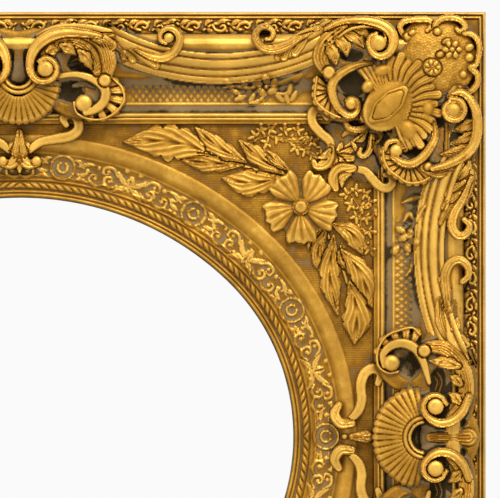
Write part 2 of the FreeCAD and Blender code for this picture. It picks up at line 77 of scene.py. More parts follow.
# The rope's middle and half width on the oval moulding, and its foliage band
ROPE_AT, ROPE_HALF = 13.9, 3.5
BAND_AT, BAND_FROM, BAND_TO = 34.0, 25.5, 47.5

Points = list[tuple[float, float]]


class Section(Enum):
    """Cross-sections that a carved stroke can have."""

    ROUND = "round"
    STRAP = "strap"
    LEAF = "leaf"
    REEDED = "reeded"
    FLAT = "flat"


# Shared drawing helpers
def to_world(u: np.ndarray, v: np.ndarray, h: np.ndarray) -> np.ndarray:
    """Turns places on the face of the frame into points of the scene.

    Args:
        u: Millimetres right of the frame's middle.
        v: Millimetres above the frame's middle.
        h: Millimetres out of the wall, from the back of the rails.

    Returns:
        The points in metres, with a last axis of three.
    """
    return np.stack([u, BACK_Y - h, v + HALF_H], axis=-1) / 1000.0


def bead(d: np.ndarray, middle: float, half: float, rise: float) -> np.ndarray:
    """The height of a half-round bead.

    Args:
        d: Distances across the moulding.
        middle: Where the bead's crown is.
        half: Half the bead's width.
        rise: How far it stands up.

    Returns:
        The height at each distance, zero outside the bead.
    """
    t = np.clip(1 - ((d - middle) / half) ** 2, 0, 1)
    return rise * np.sqrt(t)


def oval_offset(u: np.ndarray, v: np.ndarray) -> np.ndarray:
    """Distance outwards from the edge of the oval opening.

    Args:
        u: Millimetres right of the frame's middle.
        v: Millimetres above the frame's middle.

    Returns:
        The distances in millimetres.
    """
    u, v = np.abs(u), np.abs(v)
    ends = np.hypot(u - END_X, v) - END_RADIUS
    sides = np.hypot(u, v - SIDE_V) - SIDE_RADIUS
    return np.where(np.arctan2(v, u - END_X) < MEET, ends, sides)


def oval_place(turn: np.ndarray, offset: np.ndarray) -> tuple[np.ndarray, np.ndarray]:
    """A place beside the oval in the top right quarter.

    Args:
        turn: Direction of the edge's normal in radians, zero to the right.
        offset: Distance outwards from the edge.

    Returns:
        The place's u and v.
    """
    end = turn < MEET
    radius = np.where(end, END_RADIUS, SIDE_RADIUS) + offset
    u = np.where(end, END_X, 0.0) + radius * np.cos(turn)
    return u, np.where(end, 0.0, SIDE_V) + radius * np.sin(turn)


def oval_run(turn: np.ndarray, offset: float) -> np.ndarray:
    """Length along the oval, from the top down to the right.

    Args:
        turn: Directions of the edge's normal in radians, zero to the right.
        offset: Distance outwards from the edge at which the length is measured.

    Returns:
        The lengths in millimetres.
    """
    side = (SIDE_RADIUS + offset) * (np.pi / 2 - MEET)
    return np.where(turn > MEET, (np.pi / 2 - turn) * (SIDE_RADIUS + offset),
                    side + (MEET - turn) * (END_RADIUS + offset))


# Distances from the rail's outer edge, with the heights of its face there
PROFILE = np.array([
    (0.0, 37.0), (8.4, 36.4), (16.0, 37.0), (23.2, 39.0), (23.9, 47.0), (25.5, 50.5), (29.0, 54.0),
    (34.0, 55.8), (39.0, 55.0), (43.0, 53.0), (46.0, 51.0), (68.0, 43.0), (72.0, 39.6),
    (77.0, 36.0), (83.0, 32.4), (89.0, 29.8), (94.0, 28.2), (97.5, 27.6), (98.4, 27.2),
    (106.4, 27.0), (RAIL_W, 27.0), (125.0, 27.0),
])


def rail_section(d: np.ndarray) -> np.ndarray:
    """Height of the plain rail.

    Args:
        d: Distances from its outer edge.

    Returns:
        The height at each distance.
    """
    h = np.interp(d, PROFILE[:, 0], PROFILE[:, 1])
    h = np.where(d < 8.0, np.maximum(36.2 + bead(d, 1.7, 1.7, 3.2), 36.0 + bead(d, 5.7, 1.5, 3.0)), h)
    h = h + bead(d, 7.9, 0.45, -0.7) + bead(d, 97.6, 0.9, 0.8)
    return h + bead(d, 109.2, 2.5, 3.6) + bead(d, 113.3, 1.8, 2.6)


def sweep_height(along: np.ndarray, d: np.ndarray, middle: float) -> tuple[np.ndarray, np.ndarray]:
    """Height of the swept reeds that bow inwards in the middle of a panel.

    Args:
        along: Distance along the side from its middle.
        d: Distance from the outer edge.
        middle: Where the panel's middle is along the side.

    Returns:
        The height, and a mask of where the reeds are.
    """
    away = along - middle
    rho = np.hypot(away, d + SWEEP_CENTRE)
    inside = (rho > SWEEP_INNER) & (rho < SWEEP_OUTER) & (np.abs(away) < SWEEP_REACH)
    radius, start, crest, fall, climb, dive = 262.0, 230.5, 55.0, 0.476, 0.42, 16.0
    h = crest - fall * (rho - start) + climb * (radius - np.sqrt(np.maximum(radius**2 - away**2, 1)))
    for crown, half, rise in REEDS:
        h = h + bead(rho, crown, half, rise)
    h = h - dive * np.clip((np.abs(away) - 98.0) / 20.0, 0, 1) ** 2
    return h, inside


def lattice(along: np.ndarray, d: np.ndarray, pitch: float) -> np.ndarray:
    """The diamond lattice of the hollow: engraved lines with a stud in each diamond.

    Args:
        along: Distance along the side from its middle.
        d: Distance from the outer edge.
        pitch: Distance between lines, measured along the side.

    Returns:
        The height above the hollow, below zero in the lines.
    """
    slope_share, line_share, stud_share = 0.78, 0.13, 0.2
    a = (along + d * slope_share) / pitch
    b = (along - d * slope_share) / pitch
    near_a = np.abs(a - np.round(a))
    near_b = np.abs(b - np.round(b))
    lines = np.maximum(np.clip(1 - near_a / line_share, 0, 1), np.clip(1 - near_b / line_share, 0, 1))
    studs = np.clip(1 - np.hypot(0.5 - near_a, 0.5 - near_b) / stud_share, 0, 1)
    return 0.7 * np.sqrt(studs) - 0.75 * lines


@dataclass(frozen=True)
class Panel:
    """The swept panel of a side: its middle and its two ends, from the side's middle."""

    middle: float
    low: float
    high: float


TOP_PANEL = Panel(212.5, 92.0, 330.0)
SIDE_PANEL = Panel(196.5, 84.0, 292.0)


def ground(u: np.ndarray, v: np.ndarray) -> np.ndarray:
    """Height of the uncarved frame at places of the top right quarter.

    Args:
        u: Millimetres right of the middle.
        v: Millimetres above the middle.

    Returns:
        The height of rails, board or oval moulding there.
    """
    right = HALF_W - u
    top = HALF_H - v
    on_top = top < right
    d = np.minimum(top, right)
    along = np.where(on_top, u, v)
    h = rail_section(d)
    for panel, where in ((TOP_PANEL, on_top), (SIDE_PANEL, ~on_top)):
        reeds, inside = sweep_height(along, d, panel.middle)
        h = np.where(inside & where, np.maximum(h, reeds), h)
    offset = oval_offset(u, v)
    inner = np.where(offset < MOULDING_W, moulding_section(offset), BOARD_FACE)
    return np.where(d > RAIL_W, inner, h)


def moulding_section(offset: np.ndarray) -> np.ndarray:
    """Height of the oval moulding's face.

    Args:
        offset: Distances outwards from its sight edge.

    Returns:
        The height at each distance.
    """
    xs = [0.0, 0.6, 1.6, 8.4, 9.4, 10.4, 17.4, 18.4, 24.0, 27.0, 40.0, 50.0, 58.0, 66.0, MOULDING_W]
    hs = [9.0, 13.0, 14.4, 14.6, 13.6, 14.4, 14.4, 15.4, 15.8, 15.6, 16.4, 18.6, 22.4, 23.0, 21.8]
    h = np.interp(offset, xs, hs)
    h = np.maximum(h, 14.2 + bead(offset, 3.2, 1.9, 3.6))
    h = np.maximum(h, 14.2 + bead(offset, 6.9, 1.7, 3.0))
    return h + bead(offset, 19.6, 0.8, 0.8) + bead(offset, 24.4, 0.9, 0.9) + bead(offset, 48.6, 0.9, 0.7)


def smooth_path(points: Points, step: float = 0.55) -> np.ndarray:
    """Close points on the smooth curve through a few given ones.

    Args:
        points: The points that the curve passes through.
        step: Rough distance between the points that come back.

    Returns:
        An array of points.
    """
    p = np.array(points, float)
    if len(p) < 3:
        count = max(3, int(np.hypot(*(p[-1] - p[0])) / step))
        return p[0] + (p[-1] - p[0]) * np.linspace(0, 1, count)[:, None]
    p = np.vstack([2 * p[0] - p[1], p, 2 * p[-1] - p[-2]])
    out = []
    for a, b, c, e in zip(p, p[1:], p[2:], p[3:]):
        count = max(2, int(np.hypot(*(c - b)) / step))
        t = np.arange(count)[:, None] / count
        out.append(0.5 * (2 * b + (c - a) * t + (2 * a - 5 * b + 4 * c - e) * t**2
                          + (3 * b - a - 3 * c + e) * t**3))
    return np.vstack(out + [p[-2][None]])


def blurred(a: np.ndarray, reach: int) -> np.ndarray:
    """Averages an array over a square of neighbours, twice over.

    Args:
        a: The array.
        reach: Half the side of the square.

    Returns:
        The averaged array.
    """
    for _ in range(2):
        for axis in (0, 1):
            pad = [(0, 0), (0, 0)]
            pad[axis] = (reach + 1, reach)
            total = np.cumsum(np.pad(a, pad, mode="edge"), axis=axis)
            size = 2 * reach + 1
            a = (np.take(total, range(size, total.shape[axis]), axis)
                 - np.take(total, range(0, total.shape[axis] - size), axis)) / size
    return a


def middle_of(a: tuple[float, float], b: tuple[float, float], right: float = 0.0,
              down: float = 0.0) -> tuple[float, float]:
    """The place halfway between two places of the drawing, moved a little.

    Args:
        a, b: The two places.
        right: How far it is moved to the right.
        down: How far it is moved down.

    Returns:
        The place.
    """
    return (a[0] + b[0]) / 2 + right, (a[1] + b[1]) / 2 + down


def ring_of(x: float, y: float, across: float, up: float, turns: list[float] | range) -> Points:
    """Places round an ellipse of the drawing.

    Args:
        x, y: Its middle.
        across, up: Half its width and half its height.
        turns: Directions in degrees, clockwise from the right.

    Returns:
        One place for each direction.
    """
    return [(x + across * math.cos(math.radians(a)), y + up * math.sin(math.radians(a))) for a in turns]


@dataclass
class Relief:
    """Heights over a grid of places, carved stroke by stroke in the drawing's units.

    One field says where deep hollows are painted dark as shade, matt where rubbed gold lies, and bed is what
    the wash lies on.
    """

    x: np.ndarray
    y: np.ndarray
    base: np.ndarray
    bulk: float = 1.0
    h: np.ndarray = field(init=False)
    sink_shade: np.ndarray = field(init=False)
    matt: np.ndarray = field(init=False)
    bed: np.ndarray = field(init=False)

    def __post_init__(self) -> None:
        """Starts from the bare ground."""
        self.h = self.base.copy()
        self.sink_shade = np.zeros(self.base.shape)
        self.matt = np.zeros(self.base.shape)
        self.bed = self.base.copy()

    def window(self, low: np.ndarray, high: np.ndarray) -> tuple[np.ndarray, ...]:
        """Finds the grid's places inside a box."""
        inside = (self.x > low[0]) & (self.x < high[0]) & (self.y > low[1]) & (self.y < high[1])
        return np.nonzero(inside)

    def around(self, x: float, y: float, reach: float) -> tuple[np.ndarray, ...]:
        """Indices of the grid's places in a square round a place."""
        middle = np.array([x, y])
        return self.window(middle - reach, middle + reach)

    def stroke(self, section: Section, points: Points, widths: list[float], tops: list[float] | None = None,
               rise: float = 3.0, flutes: int = 5, cut: float = 0.5) -> None:
        """Lays one stroke over what is there.

        Args:
            section: Its cross-section.
            points: Places that its middle passes through.
            widths: Its width, from start to end.
            tops: Height of its crown, from start to end, or None to stand on the ground.
            rise: Height of the crown above the stroke's own edges.
            flutes: Number of reeds side by side in a reeded stroke.
            cut: Depth of the cut beside the stroke.
        """
        path = smooth_path(points)
        lengths = np.concatenate([[0], np.cumsum(np.hypot(*np.diff(path, axis=0).T))])
        share = lengths / lengths[-1]
        half = np.interp(share, np.linspace(0, 1, len(widths)), widths) / 2 * self.bulk
        outline = half
        if section is Section.LEAF:
            lobes = np.abs(np.sin(np.pi * (lengths + 3.0) / 15.0)) ** 0.7 - 0.55
            outline = half * (1 + 0.34 * lobes * np.sin(np.pi * share))
        reach = 1.25 * half.max() + 1.5
        where = self.window(path.min(0) - reach, path.max(0) + reach)
        if len(where[0]) == 0:
            return
        px, py = self.x[where], self.y[where]
        apart = (px[:, None] - path[:, 0]) ** 2 + (py[:, None] - path[:, 1]) ** 2
        veined = section in (Section.LEAF, Section.REEDED)
        near = (apart if veined else apart - (half**2 - half.min() ** 2)).argmin(1)
        dist = np.sqrt(apart[np.arange(len(px)), near])
        along = np.gradient(path, axis=0)[near]
        side = np.sign(along[:, 0] * (py - path[near, 1]) - along[:, 1] * (px - path[near, 0]))
        shape = self.profile(section, side * dist / np.maximum(half[near], 0.3), lengths[near], flutes)
        t = np.clip(dist / np.maximum(outline[near], 0.3), 0, 3)
        if tops is None:
            edge = self.base[where]
        else:
            edge = np.interp(share, np.linspace(0, 1, len(tops)), tops)[near] - rise
        old = self.h[where]
        new = edge + rise * shape
        take = (t <= 1) & (new > old - 2.4)
        out = np.where(take, new, old)
        beside = (t > 1) & (dist < outline[near] + 0.75) & (tops is not None)
        out = np.where(beside & (old > edge - cut) & (old < edge + rise), edge - cut, out)
        self.h[where] = np.maximum(out, np.where(beside, self.base[where], -99.0))

    @staticmethod
    def profile(section: Section, t: np.ndarray, s: np.ndarray, flutes: int) -> np.ndarray:
        """Share of the rise across a stroke.

        Args:
            section: The cross-section.
            t: Place across the stroke, from -1 to 1.
            s: Distance along it.
            flutes: Number of reeds in a reeded stroke.

        Returns:
            The height as a share of the stroke's rise.
        """
        a = np.minimum(np.abs(t), 1)
        crown = np.sqrt(1 - a**2)
        if section is Section.ROUND:
            return crown
        if section is Section.FLAT:
            return np.clip((1 - a) / 0.22, 0, 1) ** 0.5 * 0.9 + 0.1 * crown
        if section is Section.STRAP:
            rim = np.sqrt(np.clip(1 - ((a - 0.80) / 0.20) ** 2, 0, 1))
            trough = 0.74 + 0.16 * np.cos(np.pi * a / 0.62)
            return np.where(a > 0.62, 0.56 + 0.44 * rim, trough) * np.clip((1 - a) / 0.1, 0.2, 1)
        if section is Section.LEAF:
            vein = np.exp(-((t / 0.09) ** 2))
            ribs = 0.5 - 0.5 * np.cos(2 * np.pi * (a * 2.3 - s / 22.0))
            return 0.1 + 0.6 * crown * (0.8 + 0.2 * a) - 0.34 * vein + 0.34 * ribs * np.sqrt(crown)
        return 0.62 * crown + 0.38 * crown * (0.5 + 0.5 * np.cos(np.pi * flutes * t))

    def dome(self, x: float, y: float, radius: float, top: float | None, rise: float,
             across: float | None = None, turn: float = 0.0, ring: bool = False) -> None:
        """Lays a round or oval swelling.

        Args:
            x, y: Its middle.
            radius: Half its length.
            top: Height of its crown, or None to stand on the ground.
            rise: Height of the crown above its edge.
            across: Half its width, where it isn't round.
            turn: Direction of its length in degrees, clockwise from the right.
            ring: Whether a cut runs round it.
        """
        across = across or radius
        where = self.around(x, y, max(radius, across) + 1.5)
        dx, dy = self.x[where] - x, self.y[where] - y
        c, s = math.cos(math.radians(turn)), math.sin(math.radians(turn))
        t = np.hypot((dx * c + dy * s) / radius, (dy * c - dx * s) / across)
        edge = self.base[where] if top is None else top - rise
        full = 1.55 if ring and radius > 5.5 else 1.0
        new = edge + rise * np.minimum(1, full * np.sqrt(np.clip(1 - t**2, 0, 1)))
        old = self.h[where]
        out = np.where((t <= 1) & (new > old - 3), np.maximum(new, edge if ring else old), old)
        if ring:
            beside = (t > 1) & (t < 1 + 1.1 / radius) & (old > edge - 1.0) & (old < edge + rise)
            out = np.where(beside, np.maximum(edge - 0.5, self.base[where]), out)
        self.h[where] = out

    def flower(self, x: float, y: float, petals: int, turn: float, inner: float, outer: float, top: float,
               rise: float) -> None:
        """Lays a ring of broad fluted petals.

        Args:
            x, y: The flower's middle.
            petals: Number of petals.
            turn: Direction of the first one in degrees, clockwise from the right.
            inner, outer: Radii between which they lie.
            top: Height of their crowns.
            rise: How far their sides fall away.
        """
        where = self.around(x, y, outer + 2)
        dx, dy = self.x[where] - x, self.y[where] - y
        radius = np.hypot(dx, dy)
        step = 360.0 / petals
        away = ((np.degrees(np.arctan2(dy, dx)) - turn + step / 2) % step - step / 2) / (step / 2)
        lean = away + 0.22 * (radius / outer - 0.5)
        wave = 0.05 * np.cos(3.4 * np.pi * away + 0.5) - 0.07 * np.exp(-((away / 0.1) ** 2))
        share = radius / (outer * (1 - 0.32 * np.abs(away) ** 5 + wave))
        flutes = np.abs(np.cos(np.pi * 2.1 * lean)) ** 7 * np.clip(share * 1.6, 0, 1)
        heart = np.clip((0.6 - share) / 0.6, 0, 1)
        lip = np.clip((share - 0.9) / 0.1, 0, 1) ** 2
        h = top - rise * np.abs(lean) ** 3 - 1.7 * flutes - rise * 0.7 * heart - 1.6 * lip
        take = (radius > inner) & (share < 1) & (np.abs(away) < 0.94 + 0.05 * share)
        self.h[where] = np.where(take, np.maximum(h, self.h[where]), self.h[where])

    def settle(self) -> None:
        """Makes all that is laid so far the bed that the grey wash lies on."""
        self.bed = self.h.copy()

    def hammer(self, depth: float = 0.45) -> None:
        """Dents all that is laid so far, as a hammered ground.

        Args:
            depth: Depth of the dents in millimetres.
        """
        dents = np.sin(self.x * 1.25 + 1.9 * np.sin(self.y * 0.71))
        dents = dents * np.sin(self.y * 1.37 + 1.7 * np.sin(self.x * 0.63))
        self.h = np.where(self.h > self.base + 0.3, self.h + depth * dents, self.h)

    def sink(self, x: float, y: float, a: float, b: float, sink_shade: float = 0.9) -> None:
        """Hollows the ground out in an oval and darkens its bottom as painted shade.

        Args:
            x, y: The oval's middle.
            a, b: Half its width and half its height.
            sink_shade: How dark its bottom is.
        """
        depth = np.clip(1 - ((self.x - x) / a) ** 2 - ((self.y - y) / b) ** 2, 0, 1)
        low = np.maximum(self.base + 0.3, self.h - 9.0 * depth**0.8)
        self.h = np.where(depth > 0, np.minimum(self.h, low), self.h)
        # The bottom's darkness is painted shade.
        self.sink_shade = np.maximum(self.sink_shade, sink_shade * np.clip(1.8 * depth, 0, 1))

    def dull(self, x: float, y: float, a: float, b: float, amount: float) -> None:
        """Makes the gold inside an oval browner, as where the leaf is rubbed."""
        inside = np.clip(1 - ((self.x - x) / a) ** 2 - ((self.y - y) / b) ** 2, 0, 1)
        self.matt = np.maximum(self.matt, amount * np.clip(2.5 * inside, 0, 1))

    def shell(self, x: float, y: float, inner: float, outer: float, start: float, end: float, ribs: int,
              top: float, low: float, rise: float) -> None:
        """Lays a fan of ribs round a place.

        Args:
            x, y: Where the ribs point to.
            inner, outer: Radii between which they lie.
            start, end: Directions of its ends in degrees, clockwise from the right.
            ribs: Number of ribs.
            top, low: Height of the crowns at the inner and the outer radius.
            rise: Depth of the grooves.
        """
        where = self.around(x, y, outer + 2)
        dx, dy = self.x[where] - x, self.y[where] - y
        radius = np.hypot(dx, dy)
        turn = (np.degrees(np.arctan2(dy, dx)) - start) % 360
        place = turn / (end - start) * ribs
        ridge = np.abs(np.sin(np.pi * place)) ** 0.5
        split = np.abs(np.sin(2 * np.pi * place)) ** 0.5 * 0.3
        edge = outer * (0.955 + 0.045 * ridge)
        share = np.clip((radius - inner) / (outer - inner), 0, 1)
        rounding = 1 - np.clip((share - 0.86) / 0.14, 0, 1) ** 2 * 0.55
        h = top + (low - top) * share**1.3 + rise * (ridge - 1 + split) * (0.35 + 0.65 * share)
        h = (h - low + 6) * rounding + low - 6
        take = (turn < end - start) & (radius > inner) & (radius < edge)
        self.h[where] = np.where(take & (h > self.h[where] - 2), h, self.h[where])


# Mesh helpers
def only(obj: bpy.types.Object) -> None:
    """Selects one object and nothing else.

    Args:
        obj: The object that stays selected and active.
    """
    bpy.ops.object.select_all(action="DESELECT")
    obj.select_set(True)
    bpy.context.view_layer.objects.active = obj


def grid_object(name: str, points: np.ndarray, wash: np.ndarray) -> bpy.types.Object:
    """Adds a grid primitive and lays its points out.

    Args:
        name: The piece's name.
        points: Rows and columns of points in metres.
        wash: How much of the dark wash each point holds, from 0 to 1.

    Returns:
        The new object.
    """
    rows, cols = points.shape[:2]
    bpy.ops.object.select_all(action="DESELECT")
    bpy.ops.mesh.primitive_grid_add(x_subdivisions=cols - 1, y_subdivisions=rows - 1, size=1.0)
    obj = bpy.context.object
    obj.name = name
    obj.data.name = name
    if len(obj.data.vertices) != rows * cols:
        raise ValueError(f"{name}: the grid has {len(obj.data.vertices)} points, not {rows * cols}")
    obj.data.vertices.foreach_set("co", points.reshape(-1).astype(np.float32))
    layer = obj.data.attributes.new("wash", "FLOAT", "POINT")
    layer.data.foreach_set("value", wash.reshape(-1).astype(np.float32))
    obj.data.update()
    return obj


def recalculate(obj: bpy.types.Object, merge: float = 1e-7) -> None:
    """Merges doubles and turns all faces outwards.

    Args:
        obj: The piece.
        merge: Distance within which points are merged, in metres.
    """
    only(obj)
    bpy.ops.object.mode_set(mode="EDIT")
    bpy.ops.mesh.select_all(action="SELECT")
    bpy.ops.mesh.remove_doubles(threshold=merge)
    bpy.ops.mesh.normals_make_consistent(inside=False)
    bpy.ops.object.mode_set(mode="OBJECT")


def close_holes() -> None:
    """Fills every hole of the selected piece and turns its faces outwards."""
    bpy.ops.object.mode_set(mode="EDIT")
    bpy.ops.mesh.select_all(action="SELECT")
    bpy.ops.mesh.fill_holes(sides=0)
    bpy.ops.mesh.select_all(action="SELECT")
    bpy.ops.mesh.normals_make_consistent(inside=False)
    bpy.ops.mesh.select_mode(type="VERT")
    bpy.ops.object.mode_set(mode="OBJECT")


def close_patch(obj: bpy.types.Object, keep: np.ndarray, floor: float) -> None:
    """Trims a grid to the cells that are kept, walls its rim down and closes the underside.

    Args:
        obj: The grid.
        keep: One value for each cell, true where it stays.
        floor: World y of the underside, in metres.
    """
    only(obj)
    mesh = obj.data
    mesh.vertices.foreach_set("select", np.zeros(len(mesh.vertices), bool))
    mesh.edges.foreach_set("select", np.zeros(len(mesh.edges), bool))
    mesh.polygons.foreach_set("select", ~keep.reshape(-1))
    bpy.ops.object.mode_set(mode="EDIT")
    bpy.ops.mesh.select_mode(type="FACE")
    bpy.ops.mesh.delete(type="FACE")
    bpy.ops.mesh.select_mode(type="EDGE")
    bpy.ops.mesh.select_all(action="DESELECT")
    bpy.ops.mesh.select_non_manifold(extend=False, use_wire=False, use_boundary=True,
                                     use_multi_face=False, use_non_contiguous=False, use_verts=False)
    bpy.ops.mesh.extrude_region_move()
    bpy.ops.object.mode_set(mode="OBJECT")
    picked = np.zeros(len(mesh.vertices), bool)
    mesh.vertices.foreach_get("select", picked)
    co = np.zeros(len(mesh.vertices) * 3, np.float32)
    mesh.vertices.foreach_get("co", co)
    co = co.reshape(-1, 3)
    co[picked, 1] = floor
    mesh.vertices.foreach_set("co", co.reshape(-1))
    close_holes()


def combine(obj: bpy.types.Object, tool: bpy.types.Object, operation: str) -> None:
    """Cuts a shape out of a piece or joins it on, and lays the piece's place in its mesh.

    Args:
        obj: The piece.
        tool: The other shape, which is removed afterwards.
        operation: How the two are combined.
    """
    only(obj)
    step = obj.modifiers.new("combine", "BOOLEAN")
    step.operation, step.object, step.solver = operation, tool, "EXACT"
    bpy.ops.object.modifier_apply(modifier="combine")
    bpy.data.objects.remove(tool, do_unlink=True)
    bpy.ops.object.transform_apply(location=True, rotation=True, scale=True)


def mirrored(obj: bpy.types.Object, name: str, left: bool, down: bool) -> bpy.types.Object:
    """Copies a piece to another quarter of the frame, with its own mesh.

    Args:
        obj: The piece in the top right quarter.
        name: The copy's name.
        left: Whether it goes to the left side.
        down: Whether it goes to the bottom.

    Returns:
        The copy.
    """
    twin = obj.copy()
    twin.data = obj.data.copy()
    twin.name = name
    twin.data.name = name
    bpy.context.scene.collection.objects.link(twin)
    co = np.zeros(len(twin.data.vertices) * 3, np.float32)
    twin.data.vertices.foreach_get("co", co)
    co = co.reshape(-1, 3)
    if left:
        co[:, 0] *= -1
    if down:
        co[:, 2] = 2 * HALF_H / 1000.0 - co[:, 2]
    twin.data.vertices.foreach_set("co", co.reshape(-1))
    if left != down:
        twin.data.flip_normals()
    twin.data.update()
    return twin


def finish_piece(obj: bpy.types.Object, material: bpy.types.Material, nodes: list[str],
                 body: str = BODY, angle: float = 50.0) -> None:
    """Dresses a finished piece, attaches it to its body and hides the nodes that it stands for.

    Args:
        obj: The piece.
        material: Its finish.
        nodes: The modelled nodes that it stands for.
        body: The body that it moves with.
        angle: Faces that meet at less than this many degrees are shaded smooth.
    """
    obj.data.materials.clear()
    obj.data.materials.append(material)
    only(obj)
    bpy.ops.object.shade_smooth_by_angle(angle=math.radians(angle))
    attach(obj, body)
    if nodes:
        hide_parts(*nodes)
    log.info("%s: %d faces", obj.name, len(obj.data.polygons))


# Finishes
class Nodes:
    """A small builder of shader nodes."""

    def __init__(self, name: str) -> None:
        """Starts a material with a shader on its output.

        Args:
            name: The material's name.
        """
        self.material = bpy.data.materials.new(name)
        self.material.use_nodes = True
        self.tree = self.material.node_tree
        self.shader = self.tree.nodes["Principled BSDF"]

    def add(self, kind: str, **values: object) -> bpy.types.Node:
        """Adds a node.

        Args:
            kind: The node's type.
            **values: Settings by attribute name, and inputs as in_NAME or in_INDEX.

        Returns:
            The node.
        """
        node = self.tree.nodes.new(kind)
        for key, value in values.items():
            if not key.startswith("in_"):
                setattr(node, key, value)
                continue
            key = key[3:].replace("_", " ")
            socket = node.inputs[int(key)] if key.isdigit() else node.inputs[key]
            if isinstance(value, bpy.types.NodeSocket):
                self.tree.links.new(value, socket)
            else:
                socket.default_value = value
        return node

    def link(self, source: bpy.types.NodeSocket, target: str) -> None:
        """Links a socket to an input of the shader."""
        self.tree.links.new(source, self.shader.inputs[target])

    def place(self) -> bpy.types.NodeSocket:
        """Object coordinates."""
        return self.add("ShaderNodeTexCoord").outputs["Object"]

    def noise(self, scale: float, detail: float = 4.0, rough: float = 0.6) -> bpy.types.NodeSocket:
        """Adds a noise over the object.

        Args:
            scale: How fine it is.
            detail: Number of finer layers in it.
            rough: How strong those layers are.

        Returns:
            A number from 0 to 1.
        """
        node = self.add("ShaderNodeTexNoise", in_Vector=self.place(), in_Scale=scale, in_Detail=detail,
                        in_Roughness=rough)
        return node.outputs["Fac"]

    def ramp(self, value: bpy.types.NodeSocket, stops: list[tuple[float, tuple]]) -> bpy.types.NodeSocket:
        """Turns a number into a colour.

        Args:
            value: The number.
            stops: Places from 0 to 1, each with its linear colour.

        Returns:
            The colour.
        """
        node = self.add("ShaderNodeValToRGB", in_Fac=value)
        elements = node.color_ramp.elements
        while len(elements) < len(stops):
            elements.new(0.5)
        for element, (at, colour) in zip(elements, stops):
            element.position = at
            element.color = (*colour, 1.0)
        return node.outputs["Color"]

    def math(self, operation: str, a: object, b: object, clamp: bool = False) -> bpy.types.NodeSocket:
        """Adds one sum."""
        return self.add("ShaderNodeMath", operation=operation, use_clamp=clamp, in_0=a, in_1=b).outputs[0]

    def mix(self, share: object, a: object, b: object, blend: str = "MIX") -> bpy.types.NodeSocket:
        """Mixes two colours.

        Args:
            share: How much of the second one.
            a, b: The colours or their sockets.
            blend: How they are mixed.

        Returns:
            The mixed colour.
        """
        node = self.add("ShaderNodeMix", data_type="RGBA", blend_type=blend)
        for index, value in ((0, share), (6, a), (7, b)):
            if isinstance(value, bpy.types.NodeSocket):
                self.tree.links.new(value, node.inputs[index])
            else:
                node.inputs[index].default_value = value
        return node.outputs[2]


